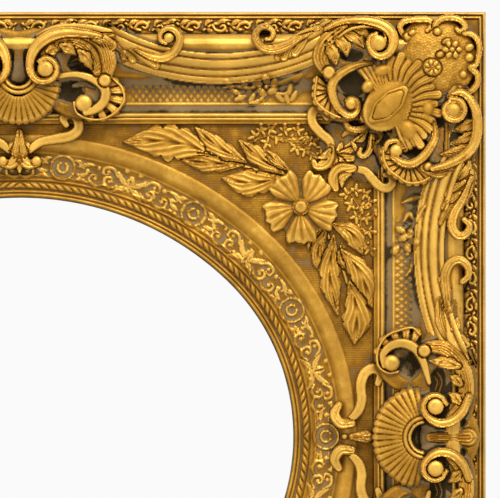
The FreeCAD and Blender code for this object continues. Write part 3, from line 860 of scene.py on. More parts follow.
@dataclass(frozen=True)
class GoldLeaf:
    """Aged gold leaf with a grey wash in its hollows, and bare wood behind wood_from.

    The colours from glint, a painted highlight, to the darkest, grime with painted shade, follow the wash
    from none to most.
    """

    name: str
    wood_from: float = 1.0
    hatch: bool = False
    hatch_pitch: float = 0.0024
    base: float = 0.0
    patch: float = 0.55
    grain: tuple = (14.0, 60.0, 90.0)
    glint: tuple = (0.82, 0.48, 0.085)
    bright: tuple = (0.58, 0.30, 0.036)
    gold: tuple = (0.44, 0.215, 0.018)
    deep: tuple = (0.27, 0.122, 0.010)
    wash: tuple = (0.285, 0.20, 0.095)
    # The darkest colour: grime, and painted shade in deep hollows and recesses.
    dirt_and_shade: tuple = (0.052, 0.036, 0.017)
    wood: tuple = (0.40, 0.25, 0.13)

    def coverage(self, n: Nodes) -> bpy.types.NodeSocket:
        """Says how much wash and grime lie on the gold, painted shade and highlight included, with soft
        patches.

        Args:
            n: The material's nodes.

        Returns:
            A number from 0, bare gold, to 1, grime and painted shade.
        """
        amount = n.add("ShaderNodeAttribute", attribute_name="wash").outputs["Fac"]
        wobble = n.math("MULTIPLY", n.math("SUBTRACT", n.noise(160.0, 6.0, 0.65), 0.5), 0.4)
        patches = n.math("MULTIPLY", n.math("SUBTRACT", n.noise(42.0, 5.0, 0.6), 0.52), self.patch)
        wobble = n.math("ADD", wobble, patches)
        amount = n.math("ADD", n.math("ADD", amount, self.base), wobble)
        return n.math("MULTIPLY", n.math("ADD", amount, 0.25), 0.8, True)

    def gilding(self, n: Nodes, amount: bpy.types.NodeSocket) -> bpy.types.NodeSocket:
        """Colours the gold, with its large tones, its specks and the shade of its hollows.

        Args:
            n: The material's nodes.
            amount: How much wash lies on it.

        Returns:
            The colour.
        """
        # The glint stop is a painted highlight on ridges; the last stop is grime and painted shade.
        stops = [(0.0, self.glint), (0.18, self.bright), (0.36, self.gold), (0.54, self.deep),
                 (0.70, self.wash), (0.84, self.wash), (1.0, self.dirt_and_shade)]
        colour = n.ramp(amount, stops)
        tone = n.ramp(n.noise(26.0, 3.0), [(0.3, (0.74, 0.70, 0.62)), (0.7, (1.14, 1.12, 1.08))])
        colour = n.mix(1.0, colour, tone, "MULTIPLY")
        specks = n.ramp(n.noise(900.0, 3.0, 0.7), [(0.30, (0.45, 0.38, 0.30)), (0.40, (1.0, 1.0, 1.0))])
        colour = n.mix(0.75, colour, specks, "MULTIPLY")
        hollow = n.add("ShaderNodeAmbientOcclusion", samples=8, in_Distance=0.012).outputs["AO"]
        shade = n.ramp(hollow, [(0.2, (0.26, 0.2, 0.14)), (0.75, (1.0, 1.0, 1.0))])
        return n.mix(0.38, colour, shade, "MULTIPLY")

    def bare_wood(self, n: Nodes) -> bpy.types.NodeSocket:
        """Colours the wood of the back.

        Args:
            n: The material's nodes.

        Returns:
            The colour, with its grain.
        """
        place = n.add("ShaderNodeMapping", in_Vector=n.place(), in_Scale=self.grain).outputs[0]
        grain = n.add("ShaderNodeTexNoise", in_Vector=place, in_Scale=3.0, in_Detail=6.0).outputs["Fac"]
        return n.ramp(grain, [(0.3, tuple(c * 0.55 for c in self.wood)), (0.7, self.wood)])

    def surface(self, n: Nodes) -> bpy.types.NodeSocket:
        """Makes the fine bumps of old leaf, and the cross hatching where the finish has it.

        Args:
            n: The material's nodes.

        Returns:
            The bumped normal.
        """
        height = n.math("ADD", n.math("MULTIPLY", n.noise(420.0, 6.0, 0.7), 0.6), n.noise(1700.0, 2.0))
        for axis in ("X", "Z") if self.hatch else ():
            at = n.add("ShaderNodeSeparateXYZ", in_0=n.place()).outputs[axis]
            wave = n.math("SINE", n.math("MULTIPLY", at, 2 * math.pi / self.hatch_pitch), 0.0)
            height = n.math("ADD", height, n.math("MULTIPLY", wave, 0.45))
        return n.add("ShaderNodeBump", in_Strength=0.42, in_Distance=0.0006, in_Height=height).outputs[0]

    def build(self) -> bpy.types.Material:
        """Builds the material.

        Returns:
            The material.
        """
        n = Nodes(self.name)
        amount = self.coverage(n)
        y = n.add("ShaderNodeSeparateXYZ", in_0=n.place()).outputs["Y"]
        back = n.math("GREATER_THAN", y, self.wood_from)
        clean = n.math("SUBTRACT", 0.9, amount, True)
        rough = n.math("ADD", n.math("MULTIPLY", n.noise(240.0), 0.16),
                       n.math("ADD", n.math("MULTIPLY", amount, 0.42), 0.22))
        n.link(n.mix(back, self.gilding(n, amount), self.bare_wood(n)), "Base Color")
        n.link(n.math("MULTIPLY", clean, 0.28), "Specular IOR Level")
        n.link(n.math("MAXIMUM", rough, n.math("MULTIPLY", back, 0.7)), "Roughness")
        n.link(n.math("MULTIPLY", n.math("MULTIPLY", clean, 0.6), n.math("SUBTRACT", 1.0, back)), "Metallic")
        n.link(self.surface(n), "Normal")
        return n.material


@dataclass(frozen=True)
class Fixing:
    """A plain metal or felt with fine scratches and spots."""

    name: str
    colour: tuple
    metallic: float
    rough: float
    scale: float = 300.0

    def build(self) -> bpy.types.Material:
        """Builds the material.

        Returns:
            The material.
        """
        n = Nodes(self.name)
        spots = n.noise(self.scale, 6.0, 0.7)
        dark = tuple(c * 0.55 for c in self.colour)
        n.link(n.ramp(spots, [(0.35, dark), (0.62, self.colour)]), "Base Color")
        n.shader.inputs["Metallic"].default_value = self.metallic
        n.link(n.math("ADD", n.math("MULTIPLY", spots, 0.3), self.rough - 0.15), "Roughness")
        bump = n.add("ShaderNodeBump", in_Strength=0.3, in_Distance=0.0003,
                     in_Height=n.noise(self.scale * 4))
        n.link(bump.outputs[0], "Normal")
        return n.material


ROUND, STRAP, LEAF, REEDED, FLAT = Section.ROUND, Section.STRAP, Section.LEAF, Section.REEDED, Section.FLAT


@dataclass
class Rails:
    """The four mitred rails with their beads, frieze, crest, swept reeds, hollow and astragal."""

    material: bpy.types.Material
    upright: bpy.types.Material
    rebate_start: float = 107.3
    rebate_depth: float = 22.0
    even_depth: float = 60.0
    dense_pitch: float = 1.2
    net_pitch: float = 7.3
    net_from: float = 77.5
    net_to: float = 96.0

    def rows(self) -> tuple[np.ndarray, np.ndarray, np.ndarray]:
        """Lays out the rows of the grid round the rail's section.

        Returns:
            Distances from the outer edge, heights of the rows that aren't carved, and which are.
        """
        spans = ((0, 9, 21), (10, 22.5, 11), (23.2, 24.4, 3), (25.5, 76, 48), (77, 97, 25), (98, 106, 6),
                 (106.6, 115.2, 14), (116.2, RAIL_W, 4))
        face = np.concatenate([np.linspace(*span) for span in spans])
        outer = [(0, 0), (0, 12), (0, 24), (0, 33)]
        inner = [(RAIL_W, 24.5), (RAIL_W, self.rebate_depth), (self.rebate_start, self.rebate_depth),
                 (self.rebate_start, 11), (self.rebate_start, 0), (70, 0), (35, 0), (0, 0)]
        d = np.concatenate([[p[0] for p in outer], face, [p[0] for p in inner]])
        h = np.concatenate([[p[1] for p in outer], np.zeros(len(face)), [p[1] for p in inner]])
        carved = np.zeros(len(d), bool)
        carved[len(outer):len(outer) + len(face)] = True
        return d, h, carved

    def columns(self, panel: Panel, reach: float) -> np.ndarray:
        """Lays out the columns of the grid along the rail, dense on its two panels.

        Args:
            panel: The rail's panel.
            reach: Half the rail's length, at the depth where the columns are evenly spaced.

        Returns:
            Shares of the half length, from -1 to 1.
        """
        dense = np.arange(panel.low, panel.high, self.dense_pitch) / reach
        share = np.concatenate([np.linspace(0, dense[0], 9)[:-1], dense, np.linspace(dense[-1], 1, 14)[1:]])
        return np.concatenate([-share[:0:-1], share])

    @staticmethod
    def tone(d: np.ndarray, rho: np.ndarray) -> np.ndarray:
        """Says how dark each moulding of the rail is, with painted shade and a painted highlight on the
        hollow.

        Args:
            d: Distances from the outer edge.
            rho: Distances from the middle of the swept reeds.

        Returns:
            The wash, before the lattice and the hollows are added.
        """
        # The frieze's ground and the grey fillets hold wash. Across the hollow the wash is made greatest at
        # 76, under the sweep, and least at 90: painted shade on its outer part and a painted highlight on
        # its inner part.
        at = [0, 8, 8.6, 23, 24, 30, 45, 46, 68, 76, 80, 86, 90, 97, 98.4, 99, 106, 107, 115.4, 116, 119]
        tones = [0.0, 0.0, 0.42, 0.5, 0.12, 0.06, 0.14, 0.3, 0.4, 0.62, 0.52, 0.26, 0.0, -0.02, 0.12, 0.46,
                 0.48, 0.0, 0.02, 0.5, 0.45]
        return np.where((rho > SWEEP_INNER) & (rho < SWEEP_OUTER), -0.04, np.interp(d, at, tones))

    def build_side(self, name: str, top: bool) -> bpy.types.Object:
        """Builds the top or the right rail.

        Args:
            name: The piece's name.
            top: Whether it is the top rail.

        Returns:
            The rail.
        """
        half_along, half_across = (HALF_W, HALF_H) if top else (HALF_H, HALF_W)
        panel = TOP_PANEL if top else SIDE_PANEL
        share = self.columns(panel, half_along - self.even_depth)
        d, fixed, face = self.rows()
        along = share[None, :] * (half_along - d[:, None])
        depth = np.repeat(d[:, None], len(share), 1)
        h = np.repeat(fixed[:, None], len(share), 1)
        u, v = (along, half_across - depth) if top else (half_across - depth, along)
        au, av = np.abs(u[face]), np.abs(v[face])
        d_face, a_face = depth[face], np.abs(along[face])
        rho = np.hypot(a_face - panel.middle, d_face + SWEEP_CENTRE)
        net = (d_face > self.net_from) & (d_face < self.net_to) & (rho > SWEEP_OUTER + 0.6)
        fade = np.clip((a_face - panel.low - 22) / 10, 0, 1) * np.clip((panel.high - 60 - a_face) / 10, 0, 1)
        marks = lattice(a_face, d_face, self.net_pitch) * fade
        base = ground(au, av) + np.where(net, marks, 0)
        relief = Relief(DRAW_X + au / MM_PER_UNIT, DRAW_Y - av / MM_PER_UNIT, base)
        (self.top_garland if top else self.side_garland)(relief)
        h[face] = relief.h
        tone = self.tone(d_face, rho)
        marked = tone + np.where(marks < 0, -0.8, -0.35) * marks - 0.12 * (relief.h - base)
        # Recesses get more wash, deepened as painted shade, and ridges get less than none, which is a
        # painted highlight.
        wash_shade_and_glint = np.clip((blurred(relief.h, 3) - relief.h) / 1.3, -0.4, 1)
        wash = np.full(h.shape, 0.3)
        wash[face] = np.clip(np.where(net, marked, tone) + 0.72 * wash_shade_and_glint, -0.3, 1)
        obj = grid_object(name, to_world(u, v, h), wash)
        recalculate(obj)
        close_holes()
        return obj

    @staticmethod
    def top_garland(relief: Relief) -> None:
        """Carves the flower garland on the hollow of the top panel.

        Args:
            relief: The relief to carve.
        """
        stems = (([(222, 88), (236, 86), (250, 88), (262, 84)], 3.0),
                 ([(268, 86), (284, 82), (302, 74)], 3.0), ([(272, 92), (284, 94), (292, 88)], 2.6),
                 ([(250, 103), (258, 101), (264, 96)], 3.4))
        for points, width in stems:
            relief.stroke(ROUND, points, [2.2, width * 1.5, 2.4], None, 2.6)
        for x, y, turn in ((258, 84, 0), (266, 80, 60), (274, 84, 110), (272, 91, 160), (262, 92, 220)):
            relief.dome(x, y, 6.0, None, 4.2, 4.0, turn)
        relief.dome(266, 87, 2.6, None, 4.4)
        leaves = ((236, 92, 20), (244, 84, -20), (290, 90, 100), (287, 98, 70), (294, 96, 120),
                  (298, 78, -30), (240, 98, 160), (280, 98, 40), (252, 98, -60), (228, 84, 50))
        for x, y, turn in leaves:
            relief.dome(x, y, 6.5, None, 3.0, 3.0, turn)

    @staticmethod
    def side_garland(relief: Relief) -> None:
        """Carves the flower spray on the hollow of the side panel.

        Args:
            relief: The relief to carve.
        """
        stems = ([(402, 203), (412, 199), (422, 197)], [(426, 205), (417, 218), (411, 232)],
                 [(414, 250), (413, 264), (407, 276)], [(404, 222), (409, 214), (414, 220)])
        for points in stems:
            relief.stroke(ROUND, points, [2.4, 5.5, 2.4], None, 3.0)
        petals = ((401, 230, 30), (404, 238, -30), (414, 242, 20), (411, 234, 90), (396, 250, 120),
                  (408, 248, 80))
        for x, y, turn in petals:
            relief.dome(x, y, 6.2, None, 4.2, 4.0, turn)
        relief.dome(408, 237, 2.6, None, 4.2)
        relief.dome(408, 254, 2.4, None, 2.6)

    def build(self) -> None:
        """Builds and dresses the four rails."""
        for top, name, twin in ((True, "rail_top", "rail_bottom"), (False, "rail_right", "rail_left")):
            obj = self.build_side("carved_" + name, top)
            copy = mirrored(obj, "carved_" + twin, not top, top)
            for piece, node in ((obj, name), (copy, twin)):
                finish_piece(piece, self.material if top else self.upright, [node])


@dataclass
class OvalMoulding:
    """The oval moulding: sight beads, rope, foliage band and smooth outer band."""

    material: bpy.types.Material
    around: int = 1340
    width: float = 68.15
    back: float = 8.0
    rope_pitch: float = 8.5
    motif_height: float = 2.5
    rings_at: tuple = (43, 183, 322, 454)
    flowers_at: tuple = (113, 252, 388, -28)

    def along_band(self, s: float, offset: float) -> tuple[float, float]:
        """Finds a place on the foliage band.

        Args:
            s: Distance along the band from the top, in the drawing's units.
            offset: Distance outwards from the sight edge, in the same units.

        Returns:
            The place on the drawing.
        """
        length = s * MM_PER_UNIT
        first = (SIDE_RADIUS + BAND_AT) * (np.pi / 2 - MEET)
        turn = np.pi / 2 - length / (SIDE_RADIUS + BAND_AT)
        if length > first:
            turn = MEET - (length - first) / (END_RADIUS + BAND_AT)
        u, v = oval_place(np.array(turn), np.array(offset * MM_PER_UNIT))
        return DRAW_X + float(u) / MM_PER_UNIT, DRAW_Y - float(v) / MM_PER_UNIT

    def band_stroke(self, relief: Relief, at: float, points: Points, widths: list[float], rise: float = 0.0,
                    section: Section = Section.ROUND) -> None:
        """Lays a stroke and its twin, drawn round a motif's middle on the band.

        Args:
            relief: The moulding's relief.
            at: Where the motif's middle is along the band.
            points: Places along and across the band, from the motif's middle.
            widths: The stroke's width, from start to end.
            rise: Height of its crown, or zero for the motifs' own.
            section: Its cross-section.
        """
        for side in (1, -1):
            path = [self.along_band(at + side * x, y) for x, y in points]
            relief.stroke(section, path, [1.12 * w for w in widths], None, rise or self.motif_height, 3)

    def ring_motif(self, relief: Relief, at: float) -> None:
        """Carves a C-ring with a small scroll inside and leaf sprigs at its sides.

        Args:
            relief: The moulding's relief.
            at: Where the ring's middle is along the band.
        """
        for radius, first, last, width in ((12.0, 0, 180, 2.2), (5.0, -150, 120, 2.6)):
            turns = [math.radians(first + (last - first) * i / 10) for i in range(11)]
            ring = [(radius * math.sin(a), 33 - radius * math.cos(a)) for a in turns]
            self.band_stroke(relief, at, ring, [width, width])
        leaves = ([(13, 22), (20, 24.5), (29, 22)], [(15, 28), (22, 29), (28, 34)],
                  [(12, 42), (18, 40), (22, 34)], [(15, 36), (24, 40), (33, 41)])
        for leaf in leaves:
            self.band_stroke(relief, at, leaf, [1.4, 4.4, 3.0, 1.0], 2.2, LEAF)

    def flower_motif(self, relief: Relief, at: float) -> None:
        """Carves a leafy flower with curling branches.

        Args:
            relief: The moulding's relief.
            at: Where the flower's middle is along the band.
        """
        leaves = ([(0, 24), (3, 31), (1, 40)], [(2, 30), (9, 34), (15, 41)], [(2, 27), (9, 25), (16, 20)])
        for leaf in leaves:
            self.band_stroke(relief, at, leaf, [2.0, 5.4, 4.4, 1.4], 2.4, LEAF)
        curls = [[(13, 27), (19, 23), (25, 25), (26, 31), (21, 33), (18, 29)],
                 [(14, 35), (20, 42), (28, 41), (29, 35), (24, 35)],
                 [(27, 24), (34, 21), (41, 25), (40, 31), (35, 31)]]
        for curl in curls:
            self.band_stroke(relief, at, curl, [1.8, 3.2, 3.4, 2.8, 1.8])
        for x, y in ((21, 28.5), (24, 38), (36, 28), (34, 39), (7, 44), (45, 34)):
            for side in (1, -1):
                place = self.along_band(at + side * x, y)
                relief.dome(*place, 2.3, None, 1.5)

    def rope(self, run: np.ndarray, offset: np.ndarray) -> np.ndarray:
        """Height of the twisted rope.

        Args:
            run: Lengths along the rope.
            offset: Distances outwards from the sight edge.

        Returns:
            The height, zero beside the rope.
        """
        slant = (run + offset - ROPE_AT) / self.rope_pitch
        lay = np.sqrt(np.clip(1 - ((slant - np.round(slant)) / 0.42) ** 2, 0, 1))
        strand = bead(offset, ROPE_AT, ROPE_HALF, 4.4) * (0.35 + 0.65 * lay)
        return strand * (np.abs(offset - ROPE_AT) < ROPE_HALF)

    @staticmethod
    def tone(relief: Relief, offset: np.ndarray) -> np.ndarray:
        """Says how much wash the carved face holds, with painted shade and a painted highlight.

        Args:
            relief: The carved face.
            offset: Distances outwards from the sight edge.

        Returns:
            The wash at each place.
        """
        # The sight edge's rim is made dark: wash, with painted shade on its bevel.
        at = [0, 2, 9, 10, 18, 24, 48, 50, MOULDING_W]
        plain = np.interp(offset, at, [0.7, 0.12, 0.2, 0.08, 0.12, 0.18, 0.2, 0.1, 0.16])
        lift = np.clip(relief.h - moulding_section(offset), 0, 1)
        band = (offset > BAND_FROM) & (offset < BAND_TO)
        tone = np.where(band, 0.27 * (1 - lift) - 0.12 * lift, plain)
        # Recesses get more wash, deepened as painted shade, and ridges get less than none, which is a
        # painted highlight.
        wash_shade_and_glint = np.clip((blurred(relief.h, 2) - relief.h) / 0.9, -0.4, 1)
        return np.clip(tone + 0.42 * wash_shade_and_glint, -0.3, 1)

    def build(self) -> None:
        """Builds and dresses the moulding."""
        spans = ((1.2, 9.6, 13), (10.4, 17.6, 12), (18.6, 49.4, 31), (50.6, self.width, 10))
        face = np.concatenate([[0.0, 0.4]] + [np.linspace(*span) for span in spans])
        under = np.array([self.width, 45.0, 22.0])
        turn = np.linspace(0, 2 * np.pi, self.around, endpoint=False)
        quarter = np.abs((turn + np.pi / 2) % np.pi - np.pi / 2)[:, None]
        u, v = oval_place(quarter, np.concatenate([face, under])[None, :])
        run = np.repeat(oval_run(quarter, ROPE_AT), len(face), 1)
        offset = np.repeat(face[None, :], len(turn), 0)
        base = np.maximum(moulding_section(offset), 14.2 + self.rope(run, offset))
        fu, fv = u[:, :len(face)], v[:, :len(face)]
        relief = Relief(DRAW_X + fu / MM_PER_UNIT, DRAW_Y - fv / MM_PER_UNIT, base)
        for at in self.rings_at:
            self.ring_motif(relief, at)
        for at in self.flowers_at:
            self.flower_motif(relief, at)
        below = (len(turn), len(under))
        h = np.concatenate([relief.h, np.full(below, self.back)], axis=1)
        wash = np.concatenate([self.tone(relief, offset), np.full(below, 0.3)], axis=1)
        points = to_world(u * np.sign(np.cos(turn))[:, None], v * np.sign(np.sin(turn))[:, None], h)
        points = np.pad(points, ((0, 1), (0, 1), (0, 0)), mode="wrap")
        wash = np.pad(wash, ((0, 1), (0, 1)), mode="wrap")
        obj = grid_object("carved_oval_moulding", points, wash)
        recalculate(obj)
        finish_piece(obj, self.material, ["oval_moulding"], angle=60)


@dataclass
class CarvedPatch:
    """A carved ornament of the top right quarter that lies on rails or board.

    Its box and its strokes are in the drawing's units, its pitch and floor in millimetres. Copies
    are (name, whether on the left, whether at the bottom).
    """

    material: bpy.types.Material
    name: str = "ornament"
    box: tuple[float, float, float, float] = (0.0, 0.0, 1.0, 1.0)
    pitch: float = 0.74
    floor: float = 20.6
    slot: str = "gilded_cast"
    copies: tuple[tuple[str, bool, bool], ...] = ()
    mirror_x: bool = False
    mirror_y: bool = False
    bulk: float = 1.0
    stands_for: bool = True
    relief: Relief = field(init=False)

    def carve(self) -> None:
        """Lays the ornament's strokes, of which each kind of ornament has its own."""
        raise NotImplementedError

    def tone(self) -> np.ndarray:
        """Says how much wash a piece holds: most in hollows and low on its bed, with painted shade and
        highlight.

        Returns:
            The wash at each place.
        """
        relief = self.relief
        near = blurred(relief.h, 3) - relief.h
        wide = blurred(relief.h, 9) - relief.h
        lift = np.clip((relief.h - relief.bed) / 3.0, 0, 1)
        # near and wide add wash to recesses, deepened as painted shade, and take it off ridges as a painted
        # highlight; the sunk hollows' dark bottoms are painted shade.
        tone = 0.46 - 0.44 * lift + 0.16 * np.clip(near, -1.6, 2.2) + 0.04 * np.clip(wide, -3, 6)
        return np.clip(tone + relief.matt + 0.75 * relief.sink_shade * (1 - lift), -0.3, 1.1)

    def places(self) -> tuple[np.ndarray, np.ndarray]:
        """Lays a grid over the piece's box, on both sides of a middle that it is mirrored in.

        Returns:
            The places' x and y on the drawing.
        """
        x0, y0, x1, y1 = self.box
        step = self.pitch / MM_PER_UNIT
        xs = np.arange(x0, x1, step)
        ys = np.arange(y1, y0, -step)
        if self.mirror_x:
            xs = np.concatenate([2 * DRAW_X - xs[::-1][:-1], xs])
        if self.mirror_y:
            ys = np.concatenate([2 * DRAW_Y - ys[::-1][:-1], ys])
        return np.meshgrid(xs, ys)

    @staticmethod
    def kept_cells(raised: np.ndarray) -> np.ndarray:
        """Finds the grid's cells that belong to the piece, with none that meet at a corner only.

        Args:
            raised: Which places stand above the bare ground.

        Returns:
            Which cells stay.
        """
        cells = raised[:-1, :-1] | raised[1:, :-1] | raised[:-1, 1:] | raised[1:, 1:]
        for _ in range(6):
            a, b, c, e = cells[:-1, :-1], cells[1:, 1:], cells[1:, :-1], cells[:-1, 1:]
            bad = (a & b & ~c & ~e) | (c & e & ~a & ~b)
            for block in (a, b, c, e):
                block |= bad
        return cells

    def build(self) -> None:
        """Builds, trims, closes and copies the ornament."""
        x, y = self.places()
        fx = DRAW_X + np.abs(x - DRAW_X)
        fy = DRAW_Y - np.abs(y - DRAW_Y)
        base = ground((fx - DRAW_X) * MM_PER_UNIT, (DRAW_Y - fy) * MM_PER_UNIT)
        self.relief = Relief(fx, fy, base, self.bulk)
        self.carve()
        raised = self.relief.h > base + 0.12
        h = np.minimum(np.where(raised, self.relief.h, base - 0.8), FRONT_MOST)
        points = to_world((x - DRAW_X) * MM_PER_UNIT, (DRAW_Y - y) * MM_PER_UNIT, h)
        obj = grid_object("carved_" + self.name, points, self.tone())
        close_patch(obj, self.kept_cells(raised), (BACK_Y - self.floor) / 1000.0)
        pieces = [(obj, self.name)]
        for name, left, down in self.copies:
            pieces.append((mirrored(obj, "carved_" + name, left, down), name))
        for piece, name in pieces:
            finish_piece(piece, self.material, [name] if self.stands_for else [], angle=62)


def quarters(name: str) -> dict[str, object]:
    """Names a piece of the top right quarter and its three copies.

    Args:
        name: The start of all four names.

    Returns:
        The fields name and copies of a carved patch.
    """
    copies = ((name + "_top_left", True, False), (name + "_bottom_right", False, True),
              (name + "_bottom_left", True, True))
    return {"name": name + "_top_right", "copies": copies}


@dataclass
class CornerOrnament(CarvedPatch):
    """A corner cartouche of leaves, paired scrolls, straps and a shell."""

    def carve(self) -> None:
        """Lays the corner's parts, from the ground up."""
        for part in (self.mounds, self.flanges, self.shield, self.left_leaf, self.branches,
                     self.inner_scroll, self.board_straps, self.outer_scrolls, self.side_scroll,
                     self.top_scroll):
            part()

    def mounds(self) -> None:
        """Lays the swelling ground with its dark hollows."""
        r = self.relief
        mounds = ((360, 58, 42, 40, 57.5, 0), (402, 90, 46, 40, 56, 45), (449, 128, 32, 52, 57, 0),
                  (412, 152, 34, 30, 53, 0), (344, 92, 28, 30, 48, 0), (345, 140, 26, 30, 31, 0),
                  (370, 165, 26, 18, 31, 0), (452, 178, 24, 26, 55, 0))
        for x, y, a, b, top, turn in mounds:
            r.dome(x, y, a, top, 9, b, turn)
        r.settle()
        r.dome(436, 58, 42, 59.5, 9, 40, 45)
        r.hammer()
        # Sunk hollows, each with how dark its bottom is painted as shade.
        hollows = ((352, 84, 15, 17, 0.9), (415, 148, 15, 12, 0.95), (457, 141, 10, 14, 0.9),
                   (374, 76, 10, 8, 0.6), (438, 118, 9, 12, 0.6), (352, 56, 14, 8, 0.6),
                   (382, 140, 9, 9, 0.7))
        for x, y, a, b, sink_shade in hollows:
            r.sink(x, y, a, b, sink_shade)

    def flanges(self) -> None:
        """Lays the ribbed flanges with a thin cord round them."""
        r = self.relief
        left = [(317, 77), (315, 92), (316, 101), (322, 108), (331, 114), (340, 118)]
        low = [(383, 148), (384, 160), (389, 170), (398, 177), (408, 183), (422, 182), (433, 175)]
        for points, centre, top in ((left, (333, 92), 50), (low, (409, 160), 55)):
            for rim in smooth_path(points)[6::13]:
                rib = [tuple(rim * share + np.array(centre) * (1 - share)) for share in (0.45, 0.97)]
                r.stroke(REEDED, rib, [4.5, 8.0], [top - 1, top], 2.6, 3)
            r.stroke(ROUND, points, [2.4, 2.4], [top + 2, top + 2], 2.4)

    def shield(self) -> None:
        """Lays the shell of fine flames round a pointed shield."""
        r = self.relief
        r.dull(400, 96, 46, 46, 0.17)
        r.shell(388, 106, 6, 50, -132, 72, 31, 61, 57, 2.6)
        for i in range(14):
            turn, long, width = -88 + 10.5 * i, (47, 51)[i % 2], (6.5, 8.0)[i % 2]
            steps = ((25, 3.438), (38, 0), (long, 2.292))
            flame = [ring_of(388, 106, reach, reach, [turn + bend])[0] for reach, bend in steps]
            r.stroke(REEDED, flame, [3, width * 0.8, width], [60.5, 61, 60], 2.4, 3, 0.4)
        r.dome(388, 106, 29, 62.4, 5.5, 22, -48)
        r.dome(432, 68, 9.5, 62.5, 4.5, 8.5, 30, ring=True)
        turns = [51.4 * i for i in range(7)]
        for turn, (x, y) in zip(turns, ring_of(432, 68, 5.4, 5.0, turns)):
            r.dome(x, y, 3.4, 63.4, 1.8, 2.2, turn, True)
        knobs = ((382, 71, 8.5, 6.5, -20), (368, 87, 7, 6, -50), (428, 109, 7.5, 6.5, 80),
                 (408, 130, 10.5, 8.5, 60))
        for x, y, a, b, turn in knobs:
            r.dome(x, y, a, 62.5, 5.5, b, turn)
        r.stroke(REEDED, [(380, 95), (370, 104), (364, 118)], [5, 10, 8], [58, 52, 48], 4, 4)
        r.stroke(REEDED, [(392, 118), (398, 130), (394, 140)], [6, 11, 8], [58, 55, 52], 4, 4)
        r.stroke(FLAT, [(403, 91), (388, 106), (372, 120)], [9, 20, 20, 7], [63.2, 64, 62.4], 1.6)
        inner_shield = [(400, 94), (388, 106), (375, 117.5)]
        r.stroke(ROUND, inner_shield, [6, 15, 15, 4.5], [64, 65, 63.2], 1.5, cut=0.7)

    def left_leaf(self) -> None:
        """Lays the leaf on the left of the top scroll."""
        r = self.relief
        blade = [(354, 25), (338, 33), (325, 46), (321, 60), (327, 72)]
        r.stroke(REEDED, blade, [7, 14, 18, 16, 10], [61, 65, 64, 62, 60], 6, 5)
        lobes = (([(327, 44), (333, 54), (336, 66)], 12), ([(334, 37), (344, 45), (347, 57)], 13),
                 ([(343, 33), (356, 38), (364, 48)], 12), ([(346, 27), (330, 26), (313, 31)], 10),
                 ([(355, 30), (364, 33), (369, 40)], 8))
        for path, w in lobes:
            r.stroke(LEAF, path, [4, w, w * 0.8, 1.5], [63, 63, 60], 4.6, 4)
        r.dome(329, 73, 6.5, 61, 4.5, ring=True)

    def branches(self) -> None:
        """Lays the branches that run along the top and down the side."""
        r = self.relief
        top_spine = [(318, 29), (304, 36), (290, 46), (278, 57)]
        r.stroke(REEDED, top_spine, [6, 10, 10, 8], [67, 66, 63, 60], 4.5, 4)
        r.stroke(REEDED, [(306, 38), (300, 47), (295, 54)], [5, 8, 7], [66, 64, 61], 4, 3)
        r.stroke(REEDED, [(294, 42), (287, 50), (284, 58)], [5, 8, 7], [65, 62, 59], 4, 3)
        top_tendril = [
            (312, 34), (300, 39), (287, 46), (275, 50), (264, 49), (257, 42), (256, 34), (261, 28),
            (268, 28), (273, 33), (271, 39), (266, 40)]
        r.stroke(REEDED, top_tendril, [3, 5, 7, 9, 9, 8, 7.5, 6.5, 6, 5, 4], [67, 66, 66, 67], 4.4, 4)
        side_spine = [(470, 172), (466, 190), (456, 206), (442, 220)]
        r.stroke(REEDED, side_spine, [7, 11, 12, 8], [60, 61, 60], 4.5, 4)
        for a, b in (((464, 182), (446, 195)), ((460, 194), (443, 208)), ((452, 207), (441, 223))):
            r.stroke(REEDED, [a, middle_of(a, b, down=-1), b], [5, 9, 6], [61, 59], 4, 4)
        side_tendril = [
            (471, 178), (463, 198), (454, 214), (452, 227), (458, 236), (466, 234), (469, 226), (464, 220)]
        r.stroke(REEDED, side_tendril, [4, 5, 7, 8.5, 9, 8.5, 7, 5], [60, 62, 65, 66, 66], 4.5, 3)

    def inner_scroll(self) -> None:
        """Lays the inner scroll on the left."""
        r = self.relief
        scroll = [(372, 64), (360, 65), (347, 70), (337, 77), (332, 86), (333, 97), (338, 108),
                  (347, 115.5), (354, 115), (358, 109), (357, 101), (351, 98), (346, 101)]
        r.stroke(STRAP, scroll, [3, 5, 7, 8, 8.5, 8, 7.5, 7, 6, 5.5, 5, 4, 3], [58, 60, 58, 54, 50, 50],
                 3.5)
        r.dome(351, 104, 6.0, 51.5, 3.6)

